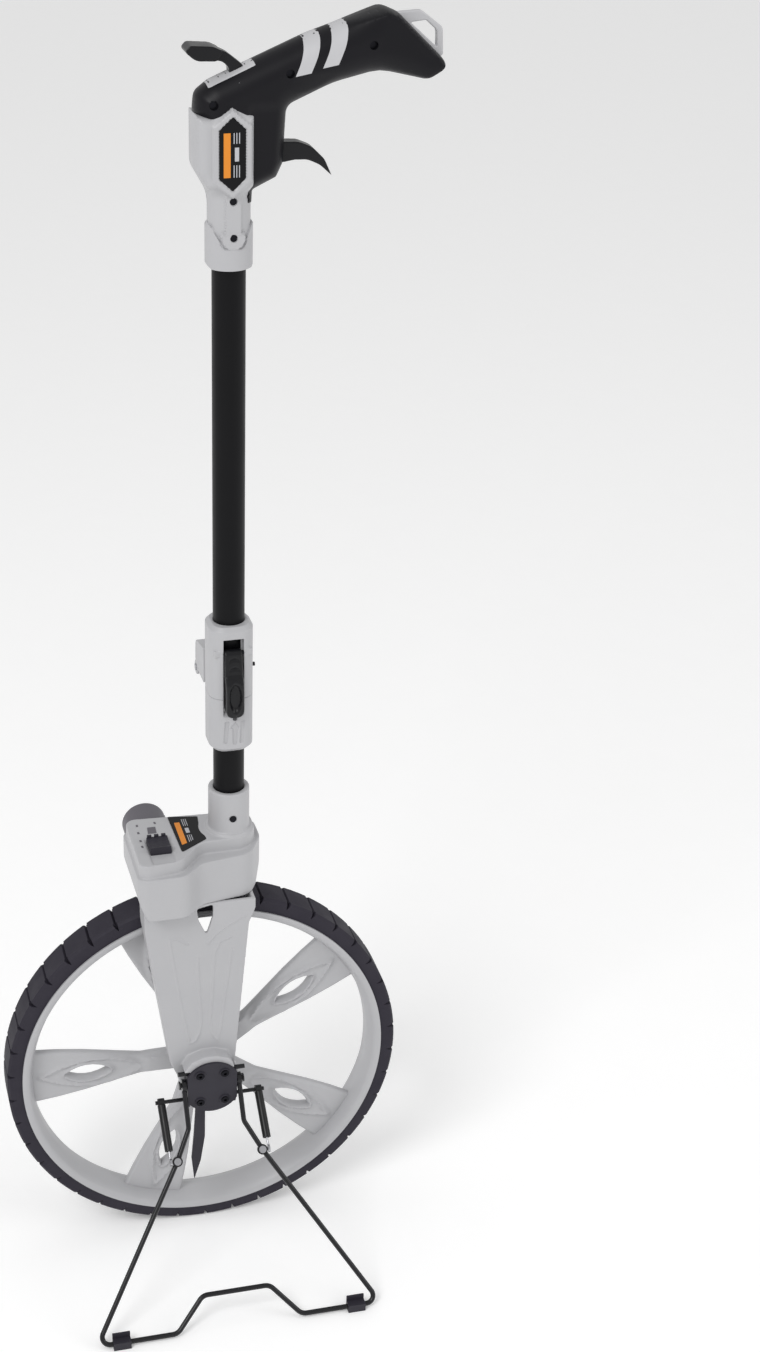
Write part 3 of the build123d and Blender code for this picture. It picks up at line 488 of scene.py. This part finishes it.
# %% Build a relief
def relief(name, edge, front, back, material, middle=0.0, gap=2.0, holes=(), clip=None, pits=()):
    """A closed piece from an outline in X and Z; clip keeps only a band of it.

    front and back take x, z and the distance to the edge, and give the depth from the middle plane.
    """
    loops = [spaced(edge, gap * 0.7)] + [spaced(hole, gap * 0.6) for hole in holes]
    solid_loops = list(loops)
    if clip:
        loops.append(spaced(clip, gap * 0.6))
    flat, faces = filled(loops, gap, pits)
    centres = flat[faces].mean(1)
    inside = within(centres, loops[0])
    for hole in solid_loops[1:]:
        inside &= ~within(centres, hole)
    if clip:
        inside &= within(centres, loops[-1])
    edge_distance = np.min([away(flat, loop) for loop in solid_loops], axis=0)
    x, z = flat[:, 0], flat[:, 1]
    near, far = front(x, z, edge_distance), back(x, z, edge_distance)
    mesh = bmesh.new()
    fronts = [mesh.verts.new(at(px, middle - n, pz)) for px, pz, n in zip(x, z, near)]
    backs = [mesh.verts.new(at(px, middle + b, pz)) for px, pz, b in zip(x, z, far)]
    for a, b, c in faces[inside]:
        mesh.faces.new((fronts[a], fronts[b], fronts[c]))
        mesh.faces.new((backs[c], backs[b], backs[a]))
    mesh.edges.ensure_lookup_table()
    index = {v: k for k, v in enumerate(fronts)}
    for rim in [e for e in mesh.edges if e.is_boundary and e.verts[0] in index]:
        a, b = (index[v] for v in rim.verts)
        if max(near[a] + far[a], near[b] + far[b]) > 0.02:
            mesh.faces.new((fronts[a], fronts[b], backs[b], backs[a]))
    bmesh.ops.remove_doubles(mesh, verts=mesh.verts, dist=0.02 * MM)
    return finish_mesh(name, mesh, material)


print("relief tools ready")

# %% [markdown]
# The grip is two mirrored over-moulded shells that read as one rounded bar, flat only at its slanted
# end. Its outline is the side view. The half-depth follows a quarter ellipse in from the top and
# bottom edges, and only a small round at the end face, so that the end keeps its crisp edge. Under
# the fingers the side is cut back along a curved crease, and three screws sit in small wells.

# %% Model the grip
pole = (21.7, -6.2)
grip_half = 17.0
grip_top = [(-2.6, 765), (-1.5, 776), (8, 783), (36.5, 795), (73, 810), (99, 818), (124, 825), (133, 821)]
grip_under = [(168, 787), (153, 777.5), (121, 785), (90, 778), (59.5, 765)]
grip_throat = [(57.5, 728), (53, 718.5), (37, 711), (36.6, 703), (30.5, 699), (28, 711), (8, 730), (3, 745)]
grip_rounds = [8, 9, 10, 60, 60, 60, 9, 5, 7, 9, 30, 60, 8, 5, 4, 2, 1, 1, 0, 12, 12]
grip_edge = rounded(grip_top + grip_under + grip_throat, grip_rounds)
grip_wells = [((8.5, 770), 2.9), ((58.6, 788), 2.9), ((113.6, 803.5), 2.9)]


def sink(depth, x, z, wells, floors):
    """Lowers a face to a flat floor inside each round well."""
    for ((wx, wz), radius), floor_depth in zip(wells, floors):
        inside = np.hypot(x - wx, z - wz) < radius * 0.98
        depth = np.where(inside, np.minimum(depth, floor_depth), depth)
    return depth


def grip_swell(x, z, d, grow=0.0):
    """The grip's half-depth: round over top and bottom, crisp at the slanted end, creased underneath."""
    (end_x, end_z), (top_x, top_z) = grip_under[0], grip_top[-1]
    run, rise = end_x - top_x, top_z - end_z
    to_end = ((end_x - x) * rise + (end_z - z) * run) / hypot(run, rise)
    round_side = grip_half * dome(np.minimum(d, 15), 15)
    beside_end = grip_half * dome(np.maximum(d, 0), 3.2)
    near_end = ease(-to_end, -42, -1)
    depth = round_side * (1 - near_end) + beside_end * near_end
    crease = 788.5 + 6.5 * ease(x, 70, 118) - 10 * ease(x, 122, 150)
    under = np.maximum(crease - z, 0) * ease(x, 52, 84)
    depth = np.minimum(depth, grip_half + 0.4 - 0.5 * under)
    stem = ease(768 - 0.35 * (60 - x), 700, 701) * ease(-z, -771, -764) * ease(x, 30, 34)
    depth = np.minimum(depth, grip_half - 1.8 * stem)
    depth = sink(depth, x, z, grip_wells, [grip_half - 3.2] * 3)
    wedge = ease(712 - z, -1, 1)
    depth = np.minimum(depth, grip_half - 3.6 * wedge)
    return depth + grow


grip = relief("grip_moulding", grip_edge, grip_swell, grip_swell, soft_touch, pole[1], pits=grip_wells)
place_on(grip, "handle", "black_rubber", "grip_cover_near", "grip_cover_far")

# %% [markdown]
# Two pale bands are let into the grip, slanting back and slightly bowed. They follow the same swell,
# so the same height function is used with a band cut out of it. The band is raised by a hair, and
# covers the dark rubber under it.

# %% Let in the stripes


stripe_width, stripe_lean, stripe_rise = 10.4, 7.2, 26.0
stripe_swell = lambda x, z, d: grip_swell(x, z, d, 0.16)
for index, (start, foot) in enumerate(((62.0, 786.0), (80.0, 790.5))):
    steps = (0, 0.2, 0.4, 0.6, 0.8, 1, 1.5)
    left = [(start + stripe_lean * sin(min(1, t) * pi / 2), foot + stripe_rise * t) for t in steps]
    outline = left + [(x + stripe_width, z + 1.8) for x, z in reversed(left)]
    name = f"grip_stripe_{index + 1}"
    band = relief(name, grip_edge, stripe_swell, stripe_swell, pale_inlay, pole[1], clip=outline)
    place_on(band, "handle", "grey_inlay", *(["grip_stripes"] if index == 0 else []))

# %% [markdown]
# Under the grip the white head is one moulding: a box with a softly rounded left side, a six-sided
# raised frame for the badge, shoulders that draw in to a round throat, and a thicker collar whose
# upper edge dips in a V to the lower screw. All of it is still a height over one outline.

# %% Model the white head
head_half = 19.0
throat_radius, collar_radius = 14.6, 16.2
head_left = [(-2.6, 763.5), (-2.6, 727), (6.4, 711), (7.1, 700), (7.1, 691)]
head_collar = [(5.5, 688), (5.5, 662), (8, 660), (35.4, 660), (37.9, 662), (37.9, 688)]
head_right = [(36.3, 691), (36.3, 706), (33.5, 711), (35.8, 716), (35.8, 762.5), (20.4, 770), (7, 762)]
head_rounds = [0, 10, 10, 4, 2, 1, 3, 1, 1, 3, 1, 2, 3, 2, 2, 2, 3, 3]
head_edge = rounded(head_left + head_collar + head_right, head_rounds)
hex_outer = [(20.2, 768), (7, 757), (7, 721), (20.2, 710), (33, 721), (33, 757)]
hex_inner = [(20.2, 763.4), (11, 755), (11, 723), (20.2, 714.6), (29, 723), (29, 755)]
head_wells = [((21.7, 706.6), 2.7), ((21.7, 682.4), 2.7)]


def signed(x, z, loop):
    """The distance to an outline, positive inside it."""
    spots = np.stack([x, z], 1)
    return np.where(within(spots, loop), 1, -1) * away(spots, loop)


def head_box(d):
    return head_half * (0.62 + 0.38 * dome(d, 6)) * dome(d, 0.9)


def head_front(x, z, d):
    """The head's near half: boxed above, round below, with the frame, facet, collar and boss."""
    across = np.abs(x - pole[0])
    throat = np.sqrt(np.clip(throat_radius**2 - across**2, 0, None))
    dip = 690 - 15 * (1 - ease(across, 5.5, 15))
    collar = np.sqrt(np.clip(collar_radius**2 - across**2, 0, None))
    collar_here = ease(dip - z, -0.5, 0.5)
    tube = throat * (1 - collar_here) + collar * collar_here
    strip = ease(5.8 - across, -0.5, 0.5) * ease(z, 673, 676)
    tube = np.maximum(tube, strip * 15.4)
    boss = 16.9 * ease(8.6 - np.hypot(x - pole[0], z - 682.4), -0.5, 0.7) * ease(690 - z, 0, 6)
    tube = np.maximum(tube, boss)
    shoulder = ease(z, 708, 719)
    depth = head_box(d) * shoulder + tube * (1 - shoulder)
    frame_edge = signed(x, z, hex_outer)
    frame_face = head_half + 1.6 * ease(frame_edge, -0.4, 0.9)
    depth = np.where(frame_edge > -0.4, np.maximum(depth, frame_face), depth)
    depth -= 1.5 * ease(signed(x, z, hex_inner), -0.3, 0.3)
    return sink(depth, x, z, head_wells, (14.0, 15.6))


def head_back(x, z, d):
    """The far half, without frame or screws."""
    across = np.abs(x - pole[0])
    radius = throat_radius + (collar_radius - throat_radius) * ease(689 - z, -0.5, 0.5)
    tube = np.sqrt(np.clip(radius**2 - across**2, 0, None))
    shoulder = ease(z, 703, 716)
    return head_box(d) * shoulder + tube * (1 - shoulder)


head = relief("head_moulding", head_edge, head_front, head_back, moulded_abs, pole[1], 1.1, pits=head_wells)
place_on(head, "handle", "white_plastic", "head_shell_near", "head_shell_far")

# %% [markdown]
# The badge is a foil label under gloss lacquer, sunk in its frame. What is printed on it is
# generic: one orange stroke and a few pale rules, each a thin raised film of ink on the foil.

# %% Lay the badge and its print
orange_ink = surface("printed_orange_ink", "e08a1e", "d67f18", 0.35, 0.03, 3.0, 0.002, IOR=1.5)
pale_ink = surface("printed_pale_ink", "b9babf", "b0b1b6", 0.4, 0.03, 3.0, 0.002, IOR=1.5)


def slab(name, points, radii, depth, thickness, material, middle=0.0, gap=2.0):
    """A flat piece with a small round along its edge; depth is how far its face stands out."""
    face = lambda x, z, d: depth - 0.3 * thickness * (1 - dome(d, 0.5))
    foot = lambda x, z, d: thickness - depth + 0 * x
    return relief(name, rounded(points, radii), face, foot, material, middle, gap)


badge = slab("head_badge_foil", hex_inner, [1] * 6, head_half + 0.9, 1.2, badge_foil, pole[1])
place_on(badge, "handle", "badge_black", "head_badge")
ink_depth = head_half + 1.0
badge_print = [(14.0, 18.6, 724, 753, orange_ink)]
for low, high in ((724, 732), (746, 753)):
    badge_print += [(x, x + 0.6, low, high, pale_ink) for x in (20.6, 22.4, 24.2)]
badge_print.append((21.4, 24.2, 734.5, 743.5, pale_ink))
for index, (x0, x1, z0, z1, ink) in enumerate(badge_print):
    corners = [(x0, z0), (x1, z0), (x1, z1), (x0, z1)]
    mark = slab(f"head_badge_mark_{index + 1}", corners, [0] * 4, ink_depth, 0.1, ink, pole[1])
    place_on(mark, "handle", "badge_black")

# %% [markdown]
# The lever works through a pale plate let into the top of the grip. It follows the grip's swell, so it
# is a band of it, like the stripes, but held to the width of the plate.

# %% Let in the lever's plate
plate_half = 9.0
plate_band = [(6.5, 779.8), (37.5, 792.6), (35.5, 800), (4, 787)]
plate_swell = lambda x, z, d: np.minimum(grip_swell(x, z, d, 0.35), plate_half)
plate = relief("lever_plate", grip_edge, plate_swell, plate_swell, pale_inlay, pole[1], 1.2, clip=plate_band)
place_on(plate, "handle", "grey_inlay", "lever_bezel")

# %% [markdown]
# The wheel is one white moulding: a rim, a hub and five spokes. The rim and hub are turned shapes, so
# each is a profile of (radius, y) points spun about the axle.


# %% Turn the rim and the hub
def spun(name, profile, material, turns=144, centre=(0, 0)):
    """A ring from a closed profile, turned about the axle or about a line beside it."""
    mesh = bmesh.new()
    rings = []
    for t in range(turns):
        a = 2 * pi * t / turns
        ring = [at(centre[0] + r * cos(a), y, centre[1] + r * sin(a)) for r, y in profile]
        rings.append([mesh.verts.new(spot) for spot in ring])
    for ring, after in zip(rings, rings[1:] + rings[:1]):
        for k in range(len(profile)):
            n = (k + 1) % len(profile)
            mesh.faces.new((ring[k], ring[n], after[n], after[k]))
    return finish_mesh(name, mesh, material)


rim_radius, rim_half = (rim_high.x - hub.x) / MM, (rim_high.y - hub.y) / MM
lip_drops = [(0, 0), (1.2, 0), (4.6, 0.3), (6.2, 1.6), (7.4, 5), (9, 8)]
lip = [(rim_radius - drop, inward - rim_half) for drop, inward in lip_drops]
groove_half, groove_depth = 4.0, 2.5
groove_floor = rim_radius - groove_depth
groove = [(rim_radius, groove_half), (groove_floor, groove_half)]
rim_profile = lip + [(r, -y) for r, y in reversed(lip)] + groove + [(r, -y) for r, y in reversed(groove)]
rim = spun("wheel_rim_casting", rim_profile, moulded_abs)
place_on(rim, "wheel", "white_plastic", "wheel_rim")

hub_outside = [(11, -15), (17.6, -15), (19, -13.6), (19, 13.6), (17.6, 15), (11, 15)]
bearing_shoulder = [(11, 8), (9, 8), (9, -8), (11, -8)]
hub_ring = spun("wheel_hub_casting", hub_outside + bearing_shoulder, moulded_abs, 72)
place_on(hub_ring, "wheel", "white_plastic")

# %% [markdown]
# A spoke is a relief, drawn pointing along X and then turned into its five places. A boxed stem
# splits into a leaf-shaped ridge, and inside the leaf an almond-shaped window has a raised lip.


# %% Model the spokes
def pointed(start, length, half, power, steps):
    """A closed outline, pointed at both ends and widest in the middle."""
    upper = [(start + length * t, half * sin(pi * t) ** power) for t in steps]
    far_end = [(start + length, 0.0)]
    return upper + far_end + [(x, -z) for x, z in reversed(upper[1:])]


almond = pointed(75.5, 36, 6.5, 0.8, (0, 0.12, 0.25, 0.4, 0.55, 0.7, 0.85))
leaf = pointed(46, 86, 12.5, 0.9, (0, 0.08, 0.2, 0.35, 0.5, 0.65, 0.8, 0.92))
spoke_upper = [(10, 10.5), (50, 9.5), (70, 13.5), (96, 19), (118, 22.5), (140.5, 25)]
spoke_lower = [(x, -z) for x, z in reversed(spoke_upper)]
spoke_edge = rounded(spoke_upper + spoke_lower, [0, 20, 20, 60, 30, 0, 0, 30, 60, 20, 20, 0])


def spoke_swell(x, z, d):
    """The spoke's half-thickness: a boxed stem that splits into a leaf round the window."""
    spots = np.stack([x, z], 1)
    to_window, to_leaf = away(spots, spaced(almond, 1.0)), away(spots, spaced(leaf, 1.5))
    lip = 2.4 * np.exp(-(((to_window - 1.8) / 1.6) ** 2))
    ridge = 2.6 * np.exp(-((to_leaf / 1.9) ** 2)) * ease(x, 44, 52)
    stem = 2.6 * ease(7.8 - np.abs(z), -0.6, 1.2) * (1 - ease(x, 42, 58))
    body = 3.2 + np.maximum(np.maximum(lip, ridge), stem)
    return body * (0.35 + 0.65 * dome(d, 2.6))


spokes = [relief("wheel_spoke_1", spoke_edge, spoke_swell, spoke_swell, moulded_abs, gap=1.9, holes=[almond])]
spokes += [new_object(f"wheel_spoke_{number}", spokes[0].data.copy()) for number in range(2, 6)]
for index, spoke in enumerate(spokes):
    turn = Matrix.Rotation(radians(36 + 72 * (index - 1)), 4, "Y")
    spoke.data.transform(Matrix.Translation(hub) @ turn @ Matrix.Translation(-hub))
    place_on(spoke, "wheel", "white_plastic")
print("turned", len(spokes), "spokes into place")

# %% [markdown]
# Other mouldings keep the frame's shape but not its sharp edges. A copy of the node is taken, raised
# detail is laid into it and sunk detail cut from it, and then its skin is rebuilt from small even cells
# and relaxed. That rounds every edge as a mould would, and blends the detail in.

# %% Soften a moulding
subparts = {subpart["node"]: subpart for subpart in frame["record"]["subparts"]}


def block(ring, other):
    """A closed bmesh between two rings of points."""
    mesh = bmesh.new()
    ones = [mesh.verts.new(spot) for spot in ring]
    others = [mesh.verts.new(spot) for spot in other]
    mesh.faces.new(ones)
    mesh.faces.new(others[::-1])
    for k in range(len(ones)):
        n = (k + 1) % len(ones)
        mesh.faces.new((ones[k], ones[n], others[n], others[k]))
    bmesh.ops.recalc_face_normals(mesh, faces=mesh.faces)
    return mesh


def prism(corners, near, far):
    """A block from an outline in X and Z, between two Y places."""
    return block([at(x, near, z) for x, z in corners], [at(x, far, z) for x, z in corners])


def softened(name, node, cell, passes, material, adds=(), cuts=(), keep=0.35):
    """A node's shape with detail added and cut, rebuilt in cells of some millimetres.

    passes is how often the skin is relaxed, and keep is the share of its triangles that stay.
    """
    whole = bmesh.new()
    whole.from_mesh(nodes[node].data)
    whole.transform(nodes[node].matrix_world)
    bmesh.ops.remove_doubles(whole, verts=whole.verts, dist=0.005 * MM)
    for add in adds:
        lump = bpy.data.meshes.new("lump")
        add.to_mesh(lump)
        whole.from_mesh(lump)
    data = bpy.data.meshes.new(name)
    whole.to_mesh(data)
    data.materials.clear()
    thing = new_object(name, data, material)
    blades = []
    for cut in cuts:
        blade = bpy.data.meshes.new("blade")
        cut.to_mesh(blade)
        blades.append(new_object("blade", blade))
        step = thing.modifiers.new("cut", "BOOLEAN")
        step.object, step.operation = blades[-1], "DIFFERENCE"
    skin = thing.modifiers.new("skin", "REMESH")
    skin.mode, skin.voxel_size = "VOXEL", cell * MM
    thing.modifiers.new("relax", "SMOOTH").iterations = passes
    thing.modifiers.new("thin", "DECIMATE").ratio = keep
    bpy.context.view_layer.update()
    evaluated = thing.evaluated_get(bpy.context.evaluated_depsgraph_get())
    final = bpy.data.meshes.new_from_object(evaluated)
    thing.modifiers.clear()
    thing.data = final
    thing.data.shade_smooth()
    for blade in blades:
        bpy.data.objects.remove(blade)
    print("softened", name, len(thing.data.polygons))
    return place_on(thing, body_of(nodes[node])[0], subparts[node]["material_slot"], node)


print("softening tools ready")

# %% [markdown]
# The arm's face carries two leaf-shaped outlines in low relief, and a raised crescent behind the
# bracket. A bead is a half-sunk strand along a line on a face.


# %% Soften the arm
def bead(points, width, height, face):
    """A strand along (x, z) points, half sunk in the face given by a function of z."""
    mesh = bmesh.new()
    line = [Vector((x, face(z), z)) for x, z in points]
    rings = []
    for k, spot in enumerate(line):
        along = (line[min(k + 1, len(line) - 1)] - line[max(k - 1, 0)]).normalized()
        across = Vector((along.z, 0, -along.x)).normalized()
        ring = []
        for t in range(8):
            side = across * width / 2 * cos(t * pi / 4) + Vector((0, -height * sin(t * pi / 4), 0))
            ring.append(mesh.verts.new(at(*(spot + side))))
        rings.append(ring)
    for a, b in zip(rings, rings[1:]):
        for t in range(8):
            mesh.faces.new((a[t], a[(t + 1) % 8], b[(t + 1) % 8], b[t]))
    mesh.faces.new(rings[0])
    mesh.faces.new(rings[-1][::-1])
    bmesh.ops.recalc_face_normals(mesh, faces=mesh.faces)
    return mesh


def arm_face(z):
    """Where the arm's face is in Y: it leans forward from the hub to just under the housing."""
    return -31 - 6.5 * min(1, max(0, (z - 20) / 130))


leaf_lines = [
    [(-32, 141), (-30.3, 129.8), (-25.2, 94.2), (-19.9, 60.2), (-15.6, 36)],
    [(-32, 141), (-25, 140.4), (-17, 134.6)],
    [(-15.6, 36), (-11.5, 37.5), (-8, 45), (-6.2, 57), (-7.5, 80), (-8.8, 102), (-9.5, 120)],
    [(16.9, 137), (8, 133.4), (4.1, 124), (3.2, 111), (2.2, 78), (0.8, 57), (3, 43), (6.7, 34.5)],
    [(6.7, 34.5), (9.5, 48.7), (12.2, 77), (15.1, 103), (17, 124.5)],
    [(-1.5, 133), (4, 140.5), (14.2, 148.3), (28.4, 155.9)],
]
leaves = [bead(line, 2.0, 0.9, arm_face) for line in leaf_lines]
crescent_edge = [(-22.5, 15.6), (-16.6, 24.6), (-6, 28.6), (4.4, 28.6), (14.1, 24.8), (18.6, 15.6)]
crescent = prism(crescent_edge, -43, -28)
softened("arm_moulding", "arm", 0.6, 6, moulded_abs, adds=leaves + [crescent])

# %% [markdown]
# The housing is the same plastic with larger rounds, so its skin is relaxed for longer.

# %% Soften the housing and its base
softened("housing_moulding", "housing", 0.6, 9, moulded_abs)
softened("housing_base_moulding", "housing_base", 0.6, 5, moulded_abs)

# %% [markdown]
# The fold joint has an engraved arrow under its latch, with a small drilled hole at its tip and a
# groove on either side. Over the latch the wall is open to the tube.

# %% Soften the joint
arrow_head, arrow_wings = (22.7, 318.2), ((19.0, 312.6), (26.3, 312.8))
arrow_shaft = [(20.9, 312.9), (21.2, 299.3), (24.1, 299.2), (24.4, 312.9)]
arrow = [arrow_head, arrow_wings[0]] + arrow_shaft + [arrow_wings[1]]
left_groove = [(15.2, 318.9), (18.4, 318.6), (16.8, 299.8), (14.0, 300.8)]
right_groove = [(27.2, 318.5), (30.3, 318.4), (29.2, 300.6), (26.3, 299.5)]
hole = [(22.7 + 1.7 * cos(t * pi / 6), 320.6 + 1.7 * sin(t * pi / 6)) for t in range(12)]
floors = ((arrow, -22.9), (left_groove, -22.7), (right_groove, -22.7), (hole, -19))
sunk = [prism(shape, -40, floor) for shape, floor in floors]
softened("joint_lower_moulding", "joint_lower", 0.4, 3, moulded_abs, cuts=sunk, keep=0.5)
opening = prism([(13.6, 362), (28.4, 362), (28.4, 384), (13.6, 384)], -40, -11)
plug_spans = ((7.5, 13.6), (29.6, 36))
plugs = [prism([(x0, 372), (x1, 372), (x1, 377), (x0, 377)], -22.6, -19) for x0, x1 in plug_spans]
softened("joint_upper_moulding", "joint_upper", 0.4, 4, moulded_abs, plugs, [opening], keep=0.5)

pin_radius, pin_length = 1.5, 17
pin = bmesh.new()
bmesh.ops.create_cone(
    pin, segments=24, radius1=pin_radius * MM, radius2=pin_radius * MM, depth=pin_length * MM, cap_ends=True
)
pin.transform(Matrix.Translation(at(pole[0], -21.8, 374.5)) @ Matrix.Rotation(pi / 2, 4, "Y"))
place_on(finish_mesh("latch_pin_turned", pin, black_oxide), "handle", "black_screw", "latch_pin")

# %% [markdown]
# The latch is a tapering nylon lever: a bevelled block on top, two small steps, then a rounded paddle
# with a long sunk oval for the thumb.

# %% Model the latch
latch_block = [(14.6, 377.4), (27.6, 377.4), (27.8, 358)]
latch_paddle = [(28.3, 345), (28.3, 324.6), (15.0, 324.6), (15.0, 345), (14.4, 358)]
latch_edge = rounded(latch_block + latch_paddle, [1, 1, 2, 4, 6.2, 6.2, 4, 2])
latch_heights = [324, 330, 352, 357, 359, 375, 378]
latch_depths = [10.4, 11.0, 10.8, 9.6, 8.2, 6.2, 3.2]


def latch_face(x, z, d):
    """How far the latch stands out from its middle plane."""
    lean = np.interp(z, latch_heights, latch_depths)
    oval = np.hypot((x - 21.6) / 4.7, (z - 341.4) / 12.4)
    dish = 2.0 * ease(1 - oval, 0, 0.3) - 0.5 * np.exp(-(((oval - 1.08) / 0.1) ** 2))
    bowed = z + 0.1 * (x - 21.6) ** 2
    steps = sum(0.9 * np.exp(-(((bowed - high) / 0.8) ** 2)) for high in (371.5, 364.5))
    steps = steps * ease(4.2 - np.abs(x - 21.6), 0, 1)
    return lean - dish - steps - 1.3 * (1 - dome(d, 1.5))


latch_back = lambda x, z, d: 0.2 - 1.0 * (1 - dome(d, 1.0))
latch = relief("latch_moulding", latch_edge, latch_face, latch_back, gloss_nylon, -20.2, 0.9)
place_on(latch, "latch", "black_plastic", "latch_lever")

# %% [markdown]
# The levers and the hanging loop are solid mouldings with soft edges all round.

# %% Soften the levers and the loop
softened("brake_trigger_moulding", "brake_trigger", 0.4, 5, gloss_nylon, keep=0.5)
softened("reset_lever_moulding", "reset_lever", 0.4, 5, gloss_nylon, keep=0.5)
softened("hanging_loop_moulding", "hanging_loop", 0.4, 6, pale_inlay, keep=0.5)

# %% [markdown]
# On top of the housing lie the printed badge, a grey square that shows which reading is chosen, a
# few pad-printed ticks and the slider with its toothed edge.


# %% Lay the marks on the housing
def tile(name, corners, low, high, material, body="frame", slot="badge_black"):
    """A thin flat piece from an outline in X and Y, between two heights."""
    mesh = block([at(x, y, high) for x, y in corners], [at(x, y, low) for x, y in corners])
    return place_on(finish_mesh(name, mesh, material), body, slot)


badge_top = (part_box("housing_badge")[1].z - hub.z) / MM
foot, top = badge_top - 0.1, badge_top + 0.08
rules = [(x, 10, 0) for x in (-12.4, -10.9, -9.4)] + [(-12.4, -13, -23), (-10.9, -13, -22), (-9.4, -13, -21)]
tile("housing_mark_1", [(-18.6, 6), (-14.4, 6), (-14.4, -24), (-18.6, -26)], foot, top, orange_ink)
for index, (x, high, low) in enumerate(rules):
    rule = [(x, high), (x + 0.5, high), (x + 0.5, low), (x, low)]
    tile(f"housing_mark_{index + 2}", rule, foot, top, pale_ink)
tile("housing_mark_8", [(-12.2, -3), (-9.2, -3), (-9.2, -10), (-12.2, -10)], foot, top, pale_ink)

# %% [markdown]
# The reading's square and ticks are raised a quarter of a millimetre above the lid. The slider gets
# three teeth along its upper edge, where a finger pushes it.

# %% Mark the lid and tooth the slider
lid = 218.0
square = [(-39.9, 3.9), (-33.6, 3.9), (-34.2, -5), (-40.9, -5)]
tile("reading_square", square, lid - 0.2, lid + 0.25, grey_abs, slot="grey_plastic")
ticks = ((-47, 8.2), (-47.8, -2.2), (-48.2, -13.8), (-48.4, -22), (-33, 9.5))
for index, (x, y) in enumerate(ticks):
    tick = [(x - 0.8, y + 1.4), (x + 0.8, y + 1.4), (x + 0.8, y - 1.4), (x - 0.8, y - 1.4)]
    tile(f"housing_tick_{index + 1}", tick, lid - 0.2, lid + 0.15, grey_abs, slot="grey_plastic")
slider_low, slider_high = ((corner - hub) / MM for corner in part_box("selector_slider"))
slider_width, edge_y = slider_high.x - slider_low.x, slider_high.y
for index in range(3):
    x = slider_low.x + slider_width * (0.04 + 0.34 * index)
    tooth = [(x, edge_y), (x + 3.2, edge_y), (x + 3.2, edge_y - 2.2), (x, edge_y - 2.2)]
    heights = slider_high.z - 1, slider_high.z + 0.9
    tile(f"slider_tooth_{index + 1}", tooth, *heights, filled_nylon, "selector", "dark_plastic")
print("housing marks laid")

# %% [markdown]
# Each screw in the bracket's cover sits in a raised ring, moulded with the cover. A ring is one more
# turned profile, this time about the screw.

# %% Ring the bracket's screws
ring_profile = [(4.4, -44.8), (4.2, -45.9), (3.5, -46.2), (2.9, -45.8), (2.8, -44.8)]
for index, spot in enumerate(((-10, 13), (10, 13), (-10, -13), (10, -13))):
    ring = spun(f"screw_ring_{index + 1}", ring_profile, filled_nylon, 24, spot)
    place_on(ring, "frame", "dark_plastic")

# %% [markdown]
# The object stands on a plain pale sheet of paper, large enough to fill the view. It is lit faintly
# from below, as on a light table, which keeps the far part from going grey.

# %% Lay the floor
floor_half = 20.0
floor_mesh = bpy.data.meshes.new("floor")
corners = [(floor_half * x, floor_half * y, 0) for x, y in ((-1, -1), (1, -1), (1, 1), (-1, 1))]
floor_mesh.from_pydata(corners, [], [(0, 1, 2, 3)])
floor_paper = surface(
    "matt_backdrop_paper", "ffffff", "fdfdfd", 0.9, 0.03, 4.0, 0.02,
    Emission_Strength=0.12, Emission_Color=(1, 1, 1, 1),
)
floor = new_object("floor", floor_mesh, floor_paper)
print("floor", floor_half * 2, "m square")

# %% [markdown]
# The light is a plain studio set: a bright even world, a large soft box high on the left that gives
# the form its shading, and a weaker one on the right to open the shadows.


# %% Light the studio
def soft_box(name, place, aim, size, power):
    light = bpy.data.lights.new(name, "AREA")
    light.shape = "DISK"
    light.size = size
    light.energy = power
    lamp = bpy.data.objects.new(name, light)
    bpy.context.scene.collection.objects.link(lamp)
    lamp.location = place
    lamp.rotation_euler = (aim - place).to_track_quat("-Z", "Y").to_euler()
    return lamp


world = bpy.data.worlds.new("studio")
bpy.context.scene.world = world
world.use_nodes = True
world.node_tree.nodes["Background"].inputs["Color"].default_value = (1, 1, 1, 1)
world.node_tree.nodes["Background"].inputs["Strength"].default_value = 0.62
middle = Vector((0, 0, 0.5))
key = soft_box("key", Vector((-1.6, -1.5, 2.6)), middle, 1.4, 38)
fill = soft_box("fill", Vector((2.2, -1.2, 1.6)), middle, 1.6, 12)
print("lights", key.name, fill.name)
